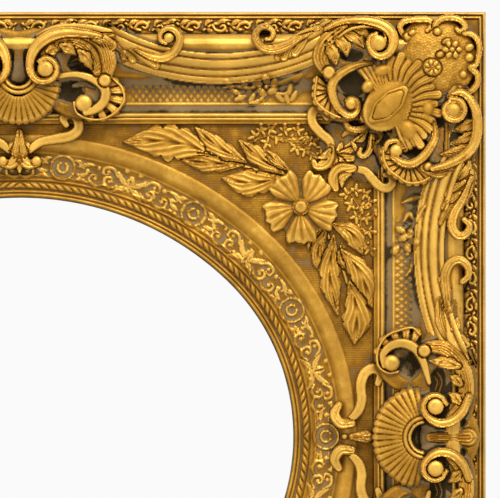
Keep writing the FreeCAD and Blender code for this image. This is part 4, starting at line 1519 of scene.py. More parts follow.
    def board_straps(self) -> None:
        """Lays the small scrolls and straps on the board's corner."""
        r = self.relief
        small_scroll = [(345, 119), (348, 127), (357, 130), (367, 127), (370, 120), (367, 115), (362, 117)]
        r.stroke(STRAP, small_scroll, [4, 5.5, 6, 6.5, 6, 5, 4], [38, 39, 40], 3.4)
        r.dome(363.5, 120, 3.6, 40, 3, ring=True)
        for x, y, radius in ((373, 127, 3.4), (382, 137, 4), (327, 109, 3.6)):
            r.dome(x, y, radius, 37, 3.4, ring=True)
        twig = [(335, 154), (350, 144), (362, 135), (374, 127)]
        r.stroke(ROUND, twig, [3, 3.2, 3.2, 3], [34, 35, 36], 2.6)
        hook = [(373, 130), (371.5, 141), (370, 150), (364.5, 156), (359.5, 154), (361, 149)]
        r.stroke(STRAP, hook, [4, 5.5, 6, 6, 5, 4], [35, 36, 35], 3)
        curl = [(371, 131), (379, 132.5), (382.5, 138.5), (378, 142)]
        r.stroke(STRAP, curl, [4, 5, 5, 4], [36, 36.5, 36], 3)
        small_leaves = (
            ([(373, 141), (377, 149), (380, 157)], 7), ([(357, 134), (349, 131.5), (343, 136)], 6.5),
            ([(352, 142), (355, 148), (352, 153)], 5.5), ([(366, 133), (362, 140), (357, 141)], 5))
        for points, w in small_leaves:
            r.stroke(REEDED, points, [3, w, 3], [34, 35.5, 34], 3.5, 3)
        upper_strap = [
            (327, 118), (321, 109), (313, 112), (313, 123), (321, 133), (330, 141), (331, 149), (330, 157)]
        r.stroke(FLAT, upper_strap, [6, 8, 9, 9, 8.5, 8.5, 7.5, 6], [36, 37, 35], 4)
        heart = (335, 157)
        tips = (((341, 145), 7), ((350, 150.5), 9), ((352, 158.5), 9), ((345, 165), 8), ((333, 166), 7))
        for tip, w in tips:
            lobe = [heart, middle_of(heart, tip, 0.8, 0.8), tip]
            r.stroke(REEDED, lobe, [5, w, w * 0.75], [34, 35.5, 34], 3.6, 3)
        upper_foot = [(331, 147), (330, 156), (325, 164), (317, 166), (313.5, 161)]
        r.stroke(REEDED, upper_foot, [7, 10, 11, 9, 4], [35, 36.5, 35.5, 34], 4, 3)
        r.stroke(LEAF, [(330, 150), (325, 156), (318, 158)], [4, 7, 2], [35, 36, 34], 3.4, 3)
        lower_strap = [
            (353, 169), (365, 171), (372, 178), (380, 186), (388, 188), (393, 182), (390, 175), (385, 175)]
        r.stroke(FLAT, lower_strap, [6, 7.5, 8.5, 9, 9, 8.5, 7, 5], [35, 37, 38, 38], 4)
        lower_foot = [(336, 189), (334, 179), (340, 170.5), (353, 168.5)]
        r.stroke(REEDED, lower_foot, [6, 12, 13, 8], [33, 35.5, 36], 4, 3)
        r.stroke(LEAF, [(350, 174), (343, 178), (342, 187)], [4, 8, 2], [34, 35, 33], 3.4, 3)

    def outer_scrolls(self) -> None:
        """Lays the small scrolls of the outer corner."""
        r = self.relief
        left_curl = [(407, 40), (402, 34), (400, 27), (404, 22), (414, 20), (428, 20), (432, 25), (427, 31)]
        r.stroke(STRAP, left_curl, [4, 5, 6, 6, 6, 6, 5.5, 4], [60, 62, 60], 3.4)
        right_curl = [(436, 33), (435, 26), (439, 20.5), (448, 18), (459, 20), (465, 27), (460, 32),
                      (456, 29)]
        r.stroke(STRAP, right_curl, [5, 6, 6, 6, 6, 6, 5, 4], [60, 62, 60], 3.4)
        double_curl = [
            (464, 34), (472, 35), (478, 42), (479, 52), (476, 65), (470, 68), (477, 75), (477, 84),
            (470, 92), (462, 92), (459, 87)]
        r.stroke(STRAP, double_curl, [4, 6, 6, 6, 5, 5, 6, 6, 6, 5, 4], [60, 61, 58], 3.4)
        studs = ((469, 48, 5, 4), (469, 58, 4.6, 4.6), (440, 55, 4.6, 3.6), (407, 37, 4, 4),
                 (437, 32, 4, 4), (446, 42, 5, 3), (463, 75, 4, 4), (412, 33, 4, 3))
        for x, y, a, b in studs:
            r.dome(x, y, a, 60.5, 3.4, b, -25, ring=True)
        for turn, (x, y) in zip(range(0, 360, 60), ring_of(451.7, 50, 5.6, 5.6, range(0, 360, 60))):
            r.dome(x, y, 4.6, 63, 3, 3.0, turn, True)
        r.dome(451.7, 50, 2.6, 64.5, 3, ring=True)

    def side_scroll(self) -> None:
        """Lays the scrolls and leaves of the lower right."""
        r = self.relief
        under_scroll = [(434, 122), (435, 137), (430, 148), (422, 158), (412, 164), (402, 163), (393, 157)]
        r.stroke(STRAP, under_scroll, [4, 6.5, 7.5, 8, 8, 7.5, 6], [58, 61, 60, 58], 3.6)
        r.stroke(STRAP, [(385, 150), (388, 143), (397, 141.5), (403, 148)], [4, 5, 5, 4], [56, 57], 3)
        r.dome(396, 151, 6.4, 60, 4)
        r.stroke(ROUND, [(446.5, 124), (446, 153)], [4, 4], [57, 57], 4)
        lobes = (((474, 121), (453, 130), 11), ((474, 133), (452, 144), 11), ((471, 146), (440, 155), 11),
                 ((468, 158), (457, 182), 12))
        for a, b, w in lobes:
            r.stroke(LEAF, [a, middle_of(a, b, down=2.5), b], [4, w, w * 0.8, 1.5], [64, 63, 59], 4.6, 4)
        low_leaf = [(468, 156), (453, 167), (438, 172), (424, 168)]
        r.stroke(REEDED, low_leaf, [6, 12, 13, 8], [63, 61, 59], 4.8, 5)
        r.dome(428, 167, 4.4, 59, 3.5, ring=True)
        great_scroll = [
            (449, 97), (459, 93), (468, 98), (475, 110), (477, 124), (476, 137), (471, 149), (461, 158),
            (447, 165), (432, 169)]
        r.stroke(STRAP, great_scroll, [5, 7, 8, 9, 9.5, 9.5, 9, 8, 7, 5], [66, 68, 67, 64], 3.8)
        eye = [ring_of(453.3, 110.8, 11.2 - 0.3 * i, 11.2 - 0.3 * i, [44.1 * i - 100])[0] for i in range(9)]
        r.stroke(STRAP, eye, [6.5, 6, 5.5, 5], [67, 68], 3.6)
        r.dome(453.3, 110.8, 7.4, 69.0, 4.5)

    def top_scroll(self) -> None:
        """Lays the great scroll at the top."""
        r = self.relief
        rim = [(338, 38), (348, 31), (358, 28), (372, 27.5), (383, 32), (386, 42)]
        r.stroke(ROUND, rim, [2, 3, 3, 3, 2.5, 2], [64, 66, 66], 2.5)
        great_scroll = [
            (324, 30), (340, 22.5), (355, 20.5), (372, 22), (385, 27), (392, 35), (393, 44), (389, 53),
            (381, 57), (373, 54), (369, 46), (370, 38), (376, 34.5)]
        r.stroke(STRAP, great_scroll, [4, 6, 6.5, 7, 8.5, 9.5, 10, 9.5, 8, 7, 6, 5, 4],
                 [62, 66, 68, 68.5, 68], 3.8)
        r.dome(378, 43.8, 8.2, 69.5, 4.5)


@dataclass
class CentreOrnament(CarvedPatch):
    """A centre cartouche, of which the top's and the side's have their own parts."""

    def carve(self) -> None:
        """Lays the ornament's parts, from the ground up."""
        for part in (self.mounds, self.middle_shell, self.inner_scroll, self.straps, self.branch,
                     self.great_scroll):
            part()


@dataclass
class TopOrnament(CentreOrnament):
    """The centre cartouche of the top and bottom sides."""

    def mounds(self) -> None:
        """Lays the swelling ground with its dark hollows."""
        r = self.relief
        mounds = ((48, 58, 62, 30, 56), (84, 92, 39, 27, 51), (19, 96, 40, 28, 46), (130, 50, 40, 14, 57))
        for x, y, a, b, top in mounds:
            r.dome(x, y, a, top, 9, b)
        r.hammer(0.3)
        r.settle()
        # Sunk hollows, each with how dark its bottom is painted as shade.
        hollows = ((82, 64, 17, 11, 0.85), (70, 92, 16, 13, 0.5), (30, 55, 7, 18, 0.5),
                   (100, 62, 7, 7, 0.6))
        for x, y, a, b, sink_shade in hollows:
            r.sink(x, y, a, b, sink_shade)

    def middle_shell(self) -> None:
        """Lays the shell and the ring that it springs from."""
        r = self.relief
        r.stroke(ROUND, [(60, 62), (70, 66), (78, 63), (88, 66)], [3, 5, 5, 3], [50, 51, 50], 3)
        r.shell(19, 82, 15, 43, -12, 192, 21, 61, 50, 3.4)
        r.dull(19, 104, 45, 32, 0.15)
        for radius in (14.5, 19.0):
            ring = ring_of(DRAW_X, 74, radius, radius, range(0, 100, 12))
            r.stroke(ROUND, ring, [4.2, 4.2], [62.5, 62.5], 3)

    def inner_scroll(self) -> None:
        """Lays the ribbed flange and the scroll inside it."""
        r = self.relief
        ribs = (((108, 92), (121, 90)), ((108, 98), (122, 101)), ((105, 103), (115, 111)),
                ((99, 107), (103, 118)), ((91, 110), (90, 118)), ((106, 86), (115, 82)))
        for a, b in ribs:
            r.stroke(REEDED, [a, b], [4.5, 8], [53, 51], 3, 3)
        cord = [(74, 103), (77, 113), (88, 119), (102, 119.5), (115, 113), (124, 101), (122, 88), (113, 79)]
        r.stroke(ROUND, cord, [2.6, 2.6], [53.5, 53.5], 2.8)
        scroll = [(57, 77), (76, 75), (94, 80), (105, 90), (104, 102), (95, 110), (86, 113)]
        r.stroke(FLAT, scroll, [5, 5.5, 6.5, 8, 9, 8.5, 6], [58, 60, 59, 57], 4)
        r.dome(84, 103.5, 8.6, 59.5, 5)
        r.stroke(REEDED, [(74, 86), (84, 84), (95, 88)], [4, 7, 4], [50, 50], 2.5, 5)

    def straps(self) -> None:
        """Lays the straps and leaves that point to the opening."""
        r = self.relief
        strap = [(66, 125), (63, 118), (70, 114), (77, 119), (78, 129), (70, 136), (55, 139), (40, 142),
                 (29, 150)]
        r.stroke(FLAT, strap, [6, 9, 9.5, 9.5, 10, 10, 9, 8.5, 7], [36, 37, 35], 4)
        r.stroke(REEDED, [(26, 146), (22, 156), (27, 164), (37, 163)], [8, 10, 10, 7], [35, 35, 33], 4, 3)
        r.stroke(LEAF, [(DRAW_X, 132), (DRAW_X, 150), (DRAW_X, 172)], [6, 14, 3], [36, 35, 30], 4)
        r.dome(36, 161, 5, 34, 3, ring=True)

    def branch(self) -> None:
        """Lays the branch that runs along the rail."""
        r = self.relief
        rim = [(38, 36), (52, 29.5), (70, 27), (90, 28), (110, 32), (130, 38)]
        r.stroke(FLAT, rim, [4, 6, 6, 6, 5, 4], [56, 58, 57], 3)
        lobes = (([(118, 44), (128, 50), (133, 60)], [7, 10, 8], [60, 59, 58], 4),
                 ([(104, 36), (120, 38), (133, 41)], [5, 6, 5], [60, 59], 3),
                 ([(126, 46), (140, 54), (156, 65)], [6, 10, 9], [60, 60, 58], 4),
                 ([(110, 42), (122, 50), (124, 58)], [6, 8, 6], [60, 57], 3),
                 ([(136, 48), (146, 52), (152, 57)], [4, 6, 4], [60, 58], 3))
        for points, widths, tops, flutes in lobes:
            r.stroke(REEDED, points, widths, tops, 4.4, flutes)
        tendril = [(128, 44), (142, 53), (156, 58), (168, 57), (177, 49), (180, 39), (175, 31), (167, 29),
                   (161, 34), (161, 41), (166, 44)]
        r.stroke(STRAP, tendril, [3, 4, 6, 8, 9, 9, 8, 7, 6, 5, 4], [60, 62, 65, 66], 4)
        r.dome(169, 38.5, 5.4, 67, 4)

    def great_scroll(self) -> None:
        """Lays the great scroll with its leaves."""
        r = self.relief
        left_leaf = [(44, 55), (56, 45), (70, 42), (84, 47), (93, 58), (98, 72)]
        r.stroke(REEDED, left_leaf, [7, 11, 12, 13, 13, 10], [62, 65, 64, 61], 5.5, 6)
        for a, b, w in (((48, 52), (60, 50), 9), ((62, 46), (76, 55), 9), ((80, 52), (92, 70), 9)):
            r.stroke(LEAF, [a, middle_of(a, b, 1, -1), b], [5, w + 3, w, 2], [65, 64, 60], 4.6, 4)
        right_leaf = [(84, 36), (98, 40), (106, 50), (109, 64), (107, 76)]
        r.stroke(REEDED, right_leaf, [8, 13, 14, 14, 10], [66, 66, 64, 62], 5.5, 6)
        r.stroke(REEDED, [(92, 37), (104, 41), (112, 46)], [7, 11, 10], [66, 65, 62], 4.5, 5)
        r.dome(105, 81, 6.4, 62, 5, ring=True)
        scroll = [(100, 36.5), (84, 34), (66, 33), (50, 37), (37, 47), (31, 60), (31, 72), (37, 80.5),
                  (46, 82), (54, 78.5), (57.5, 70), (54, 62), (46, 58.5), (39.5, 62)]
        r.stroke(STRAP, scroll, [5, 8, 9, 10, 11, 11, 10, 8, 7, 6, 5.5, 5, 4.5, 4],
                 [64, 67, 68.5, 68.5, 68], 3.8)
        r.dome(46, 69.5, 8.4, 69.5, 4.5)


@dataclass
class SideOrnament(CentreOrnament):
    """The centre cartouche of the right and left sides."""

    def mounds(self) -> None:
        """Lays the swelling ground with its dark hollows."""
        r = self.relief
        mounds = ((444, 385, 33, 60, 56), (404, 361, 26, 30, 51), (401, 430, 27, 34, 46),
                  (450, 437, 30, 34, 54), (448, 310, 14, 44, 57))
        for x, y, a, b, top in mounds:
            r.dome(x, y, a, top, 9, b)
        r.hammer(0.3)
        r.settle()
        # Sunk hollows, each with how dark its bottom is painted as shade.
        hollows = ((438, 383, 10, 17, 0.8), (409, 366, 13, 15, 0.35), (450, 392, 7, 11, 0.8),
                   (452, 423, 16, 7, 0.5))
        for x, y, a, b, sink_shade in hollows:
            r.sink(x, y, a, b, sink_shade)

    def middle_shell(self) -> None:
        """Lays the shell and the ring that it springs from."""
        r = self.relief
        r.stroke(ROUND, [(434, 372), (440, 382), (436, 394)], [3, 4.5, 3], [50, 51, 50], 3)
        r.shell(425, DRAW_Y, 20, 53, 95, 265, 21, 61, 50, 3.4)
        r.dull(398, DRAW_Y, 32, 52, 0.15)
        for radius in (16.0, 20.0):
            ring = ring_of(425, DRAW_Y, radius, -radius, range(100, 185, 11))
            r.stroke(ROUND, ring, [4.0, 4.0], [62.5, 62.5], 3)

    def inner_scroll(self) -> None:
        """Lays the ribbed flange and the scroll inside it."""
        r = self.relief
        ribs = (((398, 343), (394, 334)), ((406, 342), (406, 331)), ((413, 343), (417, 333)),
                ((390, 347), (383, 341)), ((385, 354), (378, 352)))
        for a, b in ribs:
            r.stroke(REEDED, [a, b], [4.5, 8], [53, 51], 3, 3)
        cord = [(398, 372), (388, 373), (379, 367), (377, 356), (380, 345), (387, 336), (398, 331),
                (412, 328), (420, 335)]
        r.stroke(ROUND, cord, [2.6, 2.6], [53.5, 53.5], 2.8)
        scroll = [(384, 366), (383, 355), (391, 346), (403, 343.5), (415, 349), (423, 362), (429, 383)]
        r.stroke(FLAT, scroll, [5, 7, 8.5, 9, 8, 6.5, 4], [55, 58, 60, 58], 4)
        r.dome(391.5, 363, 8.2, 59.5, 5)

    def straps(self) -> None:
        """Lays the straps and leaves that point to the opening."""
        r = self.relief
        strap = [(378, 384), (381, 374), (374, 369), (365, 374), (361, 386), (362, 400), (359, 411),
                 (351, 420)]
        r.stroke(FLAT, strap, [6, 9, 10, 10, 9.5, 9.5, 9, 7], [36, 37, 35], 4)
        foot = [(352, 424), (341, 424), (335, 415), (339, 406)]
        r.stroke(REEDED, foot, [8, 10, 10, 7], [35, 35, 33], 4, 3)
        r.dome(345, DRAW_Y, 3.0, 32, 4, ring=True)
        r.stroke(REEDED, [(352, DRAW_Y), (366, DRAW_Y)], [6, 12], [33, 34], 4, 5)
        r.stroke(LEAF, [(364, DRAW_Y), (371, DRAW_Y), (378, DRAW_Y)], [5, 7, 2], [37, 37, 35], 3)

    def branch(self) -> None:
        """Lays the branch that runs along the rail."""
        r = self.relief
        r.stroke(REEDED, [(467, 345), (459, 338), (455, 348)], [6, 9, 6], [58, 60, 57], 4, 3)
        r.stroke(REEDED, [(449, 345), (441, 320), (440, 300)], [5, 12, 8], [58, 60, 58], 4.4, 5)
        for a, b in (((450, 312), (441, 300)), ((449, 292), (438, 278)), ((452, 330), (457, 318))):
            r.stroke(LEAF, [a, middle_of(a, b, 1), b], [5, 11, 8, 2], [62, 60], 4.4, 4)
        tendril = [(452, 335), (448, 312), (446, 292), (445, 276), (450, 264), (459, 260), (467, 266),
                   (468, 276), (462, 282)]
        r.stroke(REEDED, tendril, [4, 5, 7, 8.5, 9, 9, 8.5, 7, 5], [58, 60, 63, 66, 66], 4.5, 3)
        r.stroke(REEDED, [(430, DRAW_Y), (448, DRAW_Y), (468, DRAW_Y)], [8, 11, 17], [56, 57, 55], 5, 5)

    def great_scroll(self) -> None:
        """Lays the great scroll with its leaves."""
        r = self.relief
        rim = [(457, 344), (465, 354), (470, 370), (472, 386), (470, 402), (463, 414)]
        r.stroke(ROUND, rim, [2.4, 3, 3, 3, 2.4], [62, 64, 63], 2.4)
        great_leaf = [(450, 418), (461, 406), (466, 392), (464, 374), (456, 358), (443, 348), (428, 347)]
        r.stroke(REEDED, great_leaf, [9, 13, 14, 14, 14, 14, 10], [64, 66, 66, 65, 62], 5.5, 6)
        lobes = (((458, 366), (430, 361), 9), ((460, 384), (450, 376), 8), ((459, 402), (449, 394), 8))
        for a, b, w in lobes:
            r.stroke(LEAF, [a, middle_of(a, b, down=-1), b], [6, w + 3, w, 2], [66, 64, 60], 4.6, 4)
        r.dome(424, 351, 6.4, 62, 5, ring=True)
        scroll = [(468, 396), (463, 410), (453, 420), (440, 423), (429, 418), (423, 409), (425, 400),
                  (433, 395), (441, 397), (446, 404)]
        r.stroke(STRAP, scroll, [6, 8, 9, 8.5, 8, 6.5, 5.5, 5, 4.5, 4], [66, 68, 68.5, 68], 3.8)
        r.dome(435, 406.5, 8.4, 69.5, 4.5)


@dataclass
class Spray(CarvedPatch):
    """The flower and leaf branches on the board's corner."""

    def tone(self) -> np.ndarray:
        """Says how much wash it holds, a little more than the cartouches."""
        return super().tone() + 0.07

    def carve(self) -> None:
        """Lays the stems, leaves, flower and button."""
        r = self.relief
        stems = ([(290, 186), (262, 172), (230, 162), (208, 154)],
                 [(318, 222), (334, 246), (348, 285), (356, 320)])
        for points in stems:
            r.stroke(ROUND, points, [4.5, 3.5, 3], [27, 26.5, 26], 4)
        leaves = (([(216, 157), (190, 146), (158, 141), (123, 141.5)], [3, 22, 31, 22, 1.2], 31),
                  ([(242, 165), (212, 163), (181, 160)], [3, 15, 17, 1.2], 29),
                  ([(246, 162), (217, 146), (195, 127)], [3, 15, 16, 2], 30),
                  ([(284, 178), (252, 183), (222, 178)], [3, 19, 23, 1.5], 30.5),
                  ([(284, 174), (260, 158), (239, 140)], [3, 14, 16, 2], 30.5),
                  ([(289, 170), (275, 160), (264, 149)], [3, 9, 10, 2], 29.5),
                  ([(322, 228), (312, 243), (318, 260)], [3, 9, 9, 1.5], 29),
                  ([(326, 230), (318, 254), (327, 278)], [3, 12, 12, 1.5], 29.5),
                  ([(334, 236), (330, 276), (338, 316)], [3, 17, 17, 1.5], 30.5),
                  ([(332, 224), (352, 234), (363, 255)], [3, 15, 17, 1.5], 30),
                  ([(342, 244), (346, 262), (362, 270)], [3, 12, 11, 1.5], 29),
                  ([(342, 250), (361, 274), (372, 308)], [3, 18, 22, 1.5], 31),
                  ([(350, 282), (357, 312), (355, 345)], [3, 18, 26, 1.5], 31))
        for points, widths, top in leaves:
            r.stroke(LEAF, points, widths, [top - 2, top, top - 2.5], 5.5, cut=1.2)
        r.flower(301, 207, 5, -90, 6, 29, 25.4, 2.0)
        r.flower(301, 207, 5, -54, 6, 37.5, 31.0, 6.5)
        r.dome(301, 207, 8.4, 30.5, 1.2, ring=True)
        r.dome(301, 207, 6.3, 33, 3.2, ring=True)


@dataclass
class Trellis(CarvedPatch):
    """The low leafy ground behind the flower spray."""

    def carve(self) -> None:
        """Lays small stubby leaves on thin stems near the rails."""
        r = self.relief
        sprigs = ((256, 136, 180), (262, 131, -90), (270, 130, -50), (277, 137, 40), (268, 142, 120),
                  (285, 131, -90), (290, 139, 20), (298, 131, -80), (304, 137, 0), (296, 147, 80),
                  (305, 150, 30), (312, 142, -20), (314, 154, 60), (319, 134, -60), (322, 147, 20),
                  (318, 161, 90), (348, 194, 180), (356, 192, -90), (365, 195, -30), (352, 204, 120),
                  (361, 207, 20), (369, 203, -20), (357, 216, 110), (366, 218, 10), (361, 229, 100),
                  (369, 232, 0), (364, 241, 90), (370, 249, 60), (374, 213, -20))
        for x, y, turn in sprigs:
            for bend, long, wide in ((-78, 5.2, 4.6), (-20, 7.6, 5.2), (48, 6.4, 4.8), (130, 4.4, 4.0)):
                tip = ring_of(x, y, long, long, [turn + bend + 1.7 * (x % 17)])[0]
                r.stroke(ROUND, [(x, y), tip], [wide * 0.6, wide, wide * 0.8], None, 3.0)
        stems = ([(254, 140), (272, 136), (292, 142), (318, 140)],
                 [(350, 192), (360, 210), (362, 230), (371, 252)], [(296, 138), (306, 148), (318, 164)])
        for points in stems:
            r.stroke(ROUND, points, [1.8, 2.2, 1.8], None, 1.8)


@dataclass
class LongVine(CarvedPatch):
    """The running vine on the frieze of the top and bottom sides."""

    start: float = 22.0
    end: float = 330.0
    middle: float = 26.9
    bend: float = 25.0

    def placed(self, points: Points, x: float, flip: int) -> Points:
        """Moves places of one bend to the side that this vine is on."""
        return [(x + a, self.middle + flip * b) for a, b in points]

    def carve(self) -> None:
        """Lays the waving stem with a curl, leaves and a berry in each bend."""
        r = self.relief
        parts = ((ROUND, [(0, -3.5), (7, 1), (16, 3.8), (25, 3.5)], [2.6, 3.4, 3.2, 2.6], [42, 43, 42], 4),
                 (ROUND, [(9, 2), (12, -3), (18, -4.5), (22, -1.5), (20, 1.6), (17, 0)],
                  [2.4, 3.4, 3.6, 3.2, 2.6, 2], [42, 43.5, 43], 4),
                 (REEDED, [(3, -1), (8, -5), (13, -6)], [2.5, 4.6, 2], [41, 43, 41], 3.6),
                 (REEDED, [(14, 4), (20, 6.2), (27, 6)], [2.5, 4.4, 2], [41, 43, 41], 3.6),
                 (REEDED, [(2, 1), (4, 5), (9, 6)], [2, 3.8, 1.6], [41, 42.5, 41], 3.6))
        berry = (23.5, -4.5)
        x, flip = self.start, 1
        while x < self.end - self.bend * 0.6:
            for section, points, widths, tops, rise in parts:
                r.stroke(section, self.placed(points, x, flip), widths, tops, rise, 3)
            r.dome(*self.placed([berry], x, flip)[0], 2.0, 42.5, 3.4)
            x += self.bend * (1.0 + 0.12 * math.sin(0.37 * x))
            flip = -flip


@dataclass
class ShortVine(LongVine):
    """The running vine on the frieze of the right and left sides."""

    def placed(self, points: Points, x: float, flip: int) -> Points:
        """Moves places of one bend to the right side."""
        edge_x, edge_y = DRAW_X + HALF_W / MM_PER_UNIT, DRAW_Y - HALF_H / MM_PER_UNIT
        return [(edge_x - (b - edge_y), a) for a, b in super().placed(points, x, flip)]


@dataclass
class StrapScrews:
    """The slotted screws of the two strap hangers, in metres."""

    material: bpy.types.Material
    radius: float = 0.0032
    height: float = 0.0014
    slot_width: float = 0.0009
    strap_back: float = 0.0322
    x: float = 0.441
    levels: tuple = (0.6765, 0.6625)

    def build_screw(self, name: str, x: float, z: float, turn: float) -> None:
        """Models one screw head with a slot across it.

        Args:
            name: The piece's name.
            x, z: Its middle.
            turn: Direction of its slot in degrees.
        """
        bpy.ops.object.select_all(action="DESELECT")
        bpy.ops.mesh.primitive_cylinder_add(vertices=36, radius=self.radius, depth=self.height,
                                            location=(x, self.strap_back + self.height / 2, z),
                                            rotation=(math.radians(90), 0, 0))
        head = bpy.context.object
        head.name = name
        bpy.ops.mesh.primitive_cube_add(size=1.0, location=(x, self.strap_back + self.height, z),
                                        rotation=(0, math.radians(turn), 0))
        slot = bpy.context.object
        slot.scale = (3 * self.radius, self.height, self.slot_width)
        combine(head, slot, "DIFFERENCE")
        finish_piece(head, self.material, [], angle=35)

    def build(self) -> None:
        """Models the two screws of each strap."""
        for side, word in ((1, "right"), (-1, "left")):
            for number, z in enumerate(self.levels):
                self.build_screw(f"strap_screw_{word}_{number}", side * self.x, z, 25 + 40 * number)


@dataclass
class MitreNails:
    """The V nails that draw the mitres together on the back, in metres."""

    material: bpy.types.Material
    arm: float = 0.0085
    wall: float = 0.0007
    stands: float = 0.0003
    bend: float = 0.62
    depths: tuple = (0.026, 0.092)

    def build_nail(self, name: str, x: float, z: float, turn: float) -> None:
        """Models one nail from two arms.

        Args:
            name: The piece's name.
            x, z: Where its arms meet.
            turn: Direction between its arms in radians.
        """
        bpy.ops.object.select_all(action="DESELECT")
        arms = []
        for angle in (turn - self.bend, turn + self.bend):
            middle = (x + math.cos(angle) * self.arm / 2, BACK_Y / 1000, z + math.sin(angle) * self.arm / 2)
            bpy.ops.mesh.primitive_cube_add(size=1.0, location=middle, rotation=(0, -angle, 0))
            bpy.context.object.scale = (self.arm, 2 * self.stands, self.wall)
            arms.append(bpy.context.object)
        arms[0].name = name
        combine(arms[0], arms[1], "UNION")
        finish_piece(arms[0], self.material, [], angle=35)

    def build(self) -> None:
        """Models two nails on each mitre."""
        for left, side in ((1, "right"), (-1, "left")):
            for up, end in ((1, "top"), (-1, "bottom")):
                turn = math.atan2(up, left) + math.radians(90)
                for number, depth in enumerate(self.depths):
                    x, z = left * (HALF_W / 1000 - depth), (HALF_H + up * (HALF_H - 1000 * depth)) / 1000
                    self.build_nail(f"mitre_nail_{side}_{end}_{number}", x, z, turn)


@dataclass
class Studio:
    """Pale floor, soft light and the camera, in metres."""

    look_x: float = 0.2450
    look_z: float = 0.6505
    field: float = 0.5300
    distance: float = 7.0
    face_y: float = -0.015
    floor_size: float = 8.0
    light_strength: float = 0.38
    seen_strength: float = 0.956

    def lamp(self, name: str, place: tuple, size: float, energy: float) -> None:
        """Adds a soft square lamp that looks at the frame's middle.

        Args:
            name: The lamp's name.
            place: Where it stands.
            size: Length of its side.
            energy: Its power in watts.
        """
        data = bpy.data.lights.new(name, "AREA")
        data.size = size
        data.energy = energy
        obj = bpy.data.objects.new(name, data)
        bpy.context.scene.collection.objects.link(obj)
        obj.location = place
        obj.rotation_euler = (Vector((0.15, 0, 0.55)) - Vector(place)).to_track_quat("-Z", "Y").to_euler()

    def build_floor(self) -> None:
        """Lays the plain pale floor."""
        bpy.ops.object.select_all(action="DESELECT")
        bpy.ops.mesh.primitive_plane_add(size=self.floor_size, location=(0, 0, 0))
        floor = bpy.context.object
        floor.name = "floor"
        n = Nodes("pale_floor")
        n.shader.inputs["Base Color"].default_value = (0.86, 0.86, 0.85, 1)
        n.shader.inputs["Roughness"].default_value = 0.8
        floor.data.materials.append(n.material)

    def build_world(self) -> None:
        """Makes the world nearly white where it is seen, mirrored or looked through."""
        world = bpy.data.worlds.new("studio")
        bpy.context.scene.world = world
        world.use_nodes = True
        tree = world.node_tree
        back = tree.nodes["Background"]
        back.inputs["Color"].default_value = (1, 1, 1, 1)
        rays = tree.nodes.new("ShaderNodeLightPath")
        seen = rays.outputs["Is Camera Ray"]
        for kind in ("Is Glossy Ray", "Is Transmission Ray"):
            either = tree.nodes.new("ShaderNodeMath")
            either.operation = "MAXIMUM"
            tree.links.new(seen, either.inputs[0])
            tree.links.new(rays.outputs[kind], either.inputs[1])
            seen = either.outputs[0]
        strength = tree.nodes.new("ShaderNodeMix")
        strength.data_type = "FLOAT"
        tree.links.new(seen, strength.inputs[0])
        strength.inputs[2].default_value = self.light_strength
        strength.inputs[3].default_value = self.seen_strength
        tree.links.new(strength.outputs[0], back.inputs["Strength"])

    def build_camera(self) -> None:
        """Sets the camera up straight in front, as in the photograph."""
        data = bpy.data.cameras.new("camera")
        data.sensor_width = 36.0
        data.lens = data.sensor_width * (self.distance + self.face_y) / self.field
        data.clip_end = 100.0
        camera = bpy.data.objects.new("camera", data)
        bpy.context.scene.collection.objects.link(camera)
        camera.location = (self.look_x, -self.distance, self.look_z)
        camera.rotation_euler = (math.radians(90), 0, 0)
        bpy.context.scene.camera = camera
        bpy.context.scene.view_settings.view_transform = "Standard"

    def build(self) -> None:
        """Builds the floor, the lamps, the world and the camera."""
        self.build_floor()
        self.lamp("key", (0.9, -2.0, 2.6), 1.1, 62.0)
        self.lamp("fill", (-1.8, -2.4, 1.0), 2.2, 16.0)
        self.build_world()
        self.build_camera()


def dress_node(node: str, material: bpy.types.Material) -> None:
    """Gives a modelled node its finish.

    Args:
        node: The node's name.
        material: The finish.
    """
    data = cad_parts[node].data
    data.materials.clear()
    data.materials.append(material)


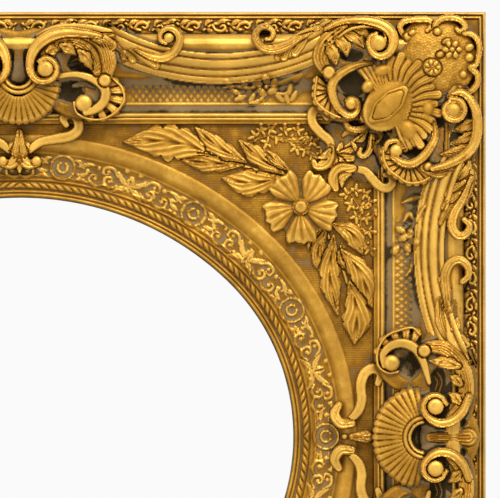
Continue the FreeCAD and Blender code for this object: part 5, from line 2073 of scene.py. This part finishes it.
def main() -> None:
    """Builds every piece in order."""
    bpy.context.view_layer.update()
    gilded = GoldLeaf("gilded_rail", wood_from=0.0305).build()
    turned = GoldLeaf("gilded_moulding", wood_from=0.0225).build()
    upright = GoldLeaf("gilded_rail_upright", wood_from=0.0305, grain=(90.0, 60.0, 14.0)).build()
    board = GoldLeaf("gilded_board", wood_from=0.0095, hatch=True, base=0.38, patch=1.0).build()
    cast = GoldLeaf("gilded_carving").build()
    brass = Fixing("rolled_brass", (0.60, 0.42, 0.16), 1.0, 0.42).build()
    zinc = Fixing("zinc_steel", (0.52, 0.53, 0.54), 1.0, 0.45).build()
    felt = Fixing("dark_felt", (0.035, 0.033, 0.03), 0.0, 0.95, 1500.0).build()

    Rails(gilded, upright).build()
    OvalMoulding(turned).build()
    CornerOrnament(cast, box=(250, 15, 483.5, 240), pitch=0.8, bulk=1.12,
                   **quarters("corner_ornament")).build()
    TopOrnament(cast, "centre_ornament_top", (DRAW_X, 15, 186, 180), 0.86, mirror_x=True, bulk=1.1,
                copies=(("centre_ornament_bottom", False, True),)).build()
    SideOrnament(cast, "centre_ornament_right", (328, 254, 483.5, DRAW_Y), 0.86, mirror_y=True, bulk=1.1,
                 copies=(("centre_ornament_left", True, False),)).build()
    Spray(cast, box=(114, 120, 380, 350), pitch=0.92, bulk=1.14, **quarters("spray")).build()
    Trellis(cast, box=(240, 122, 378, 262), pitch=0.9, stands_for=False, **quarters("trellis")).build()
    LongVine(cast, box=(20, 18, 345, 36), pitch=0.8, floor=30.0, bulk=1.35, **quarters("vine_long")).build()
    ShortVine(cast, box=(460, 150, 478, 437), pitch=0.8, floor=30.0, bulk=1.35, start=160.0, end=440.0,
              **quarters("vine_short")).build()
    buttons = ["turn_button_" + side for side in ("top", "bottom", "right", "left")]
    fixings = ["turn_button_pins", "board_points", "hanger_straps", "hanger_ring_right", "hanger_ring_left"]
    pads = ["wall_pad_right", "wall_pad_left"]
    for material, nodes in ((board, ["spandrel_board"]), (brass, buttons), (zinc, fixings), (felt, pads)):
        for node in nodes:
            dress_node(node, material)
    StrapScrews(zinc).build()
    MitreNails(zinc).build()
    Studio().build()


if __name__ == "__main__":
    main()
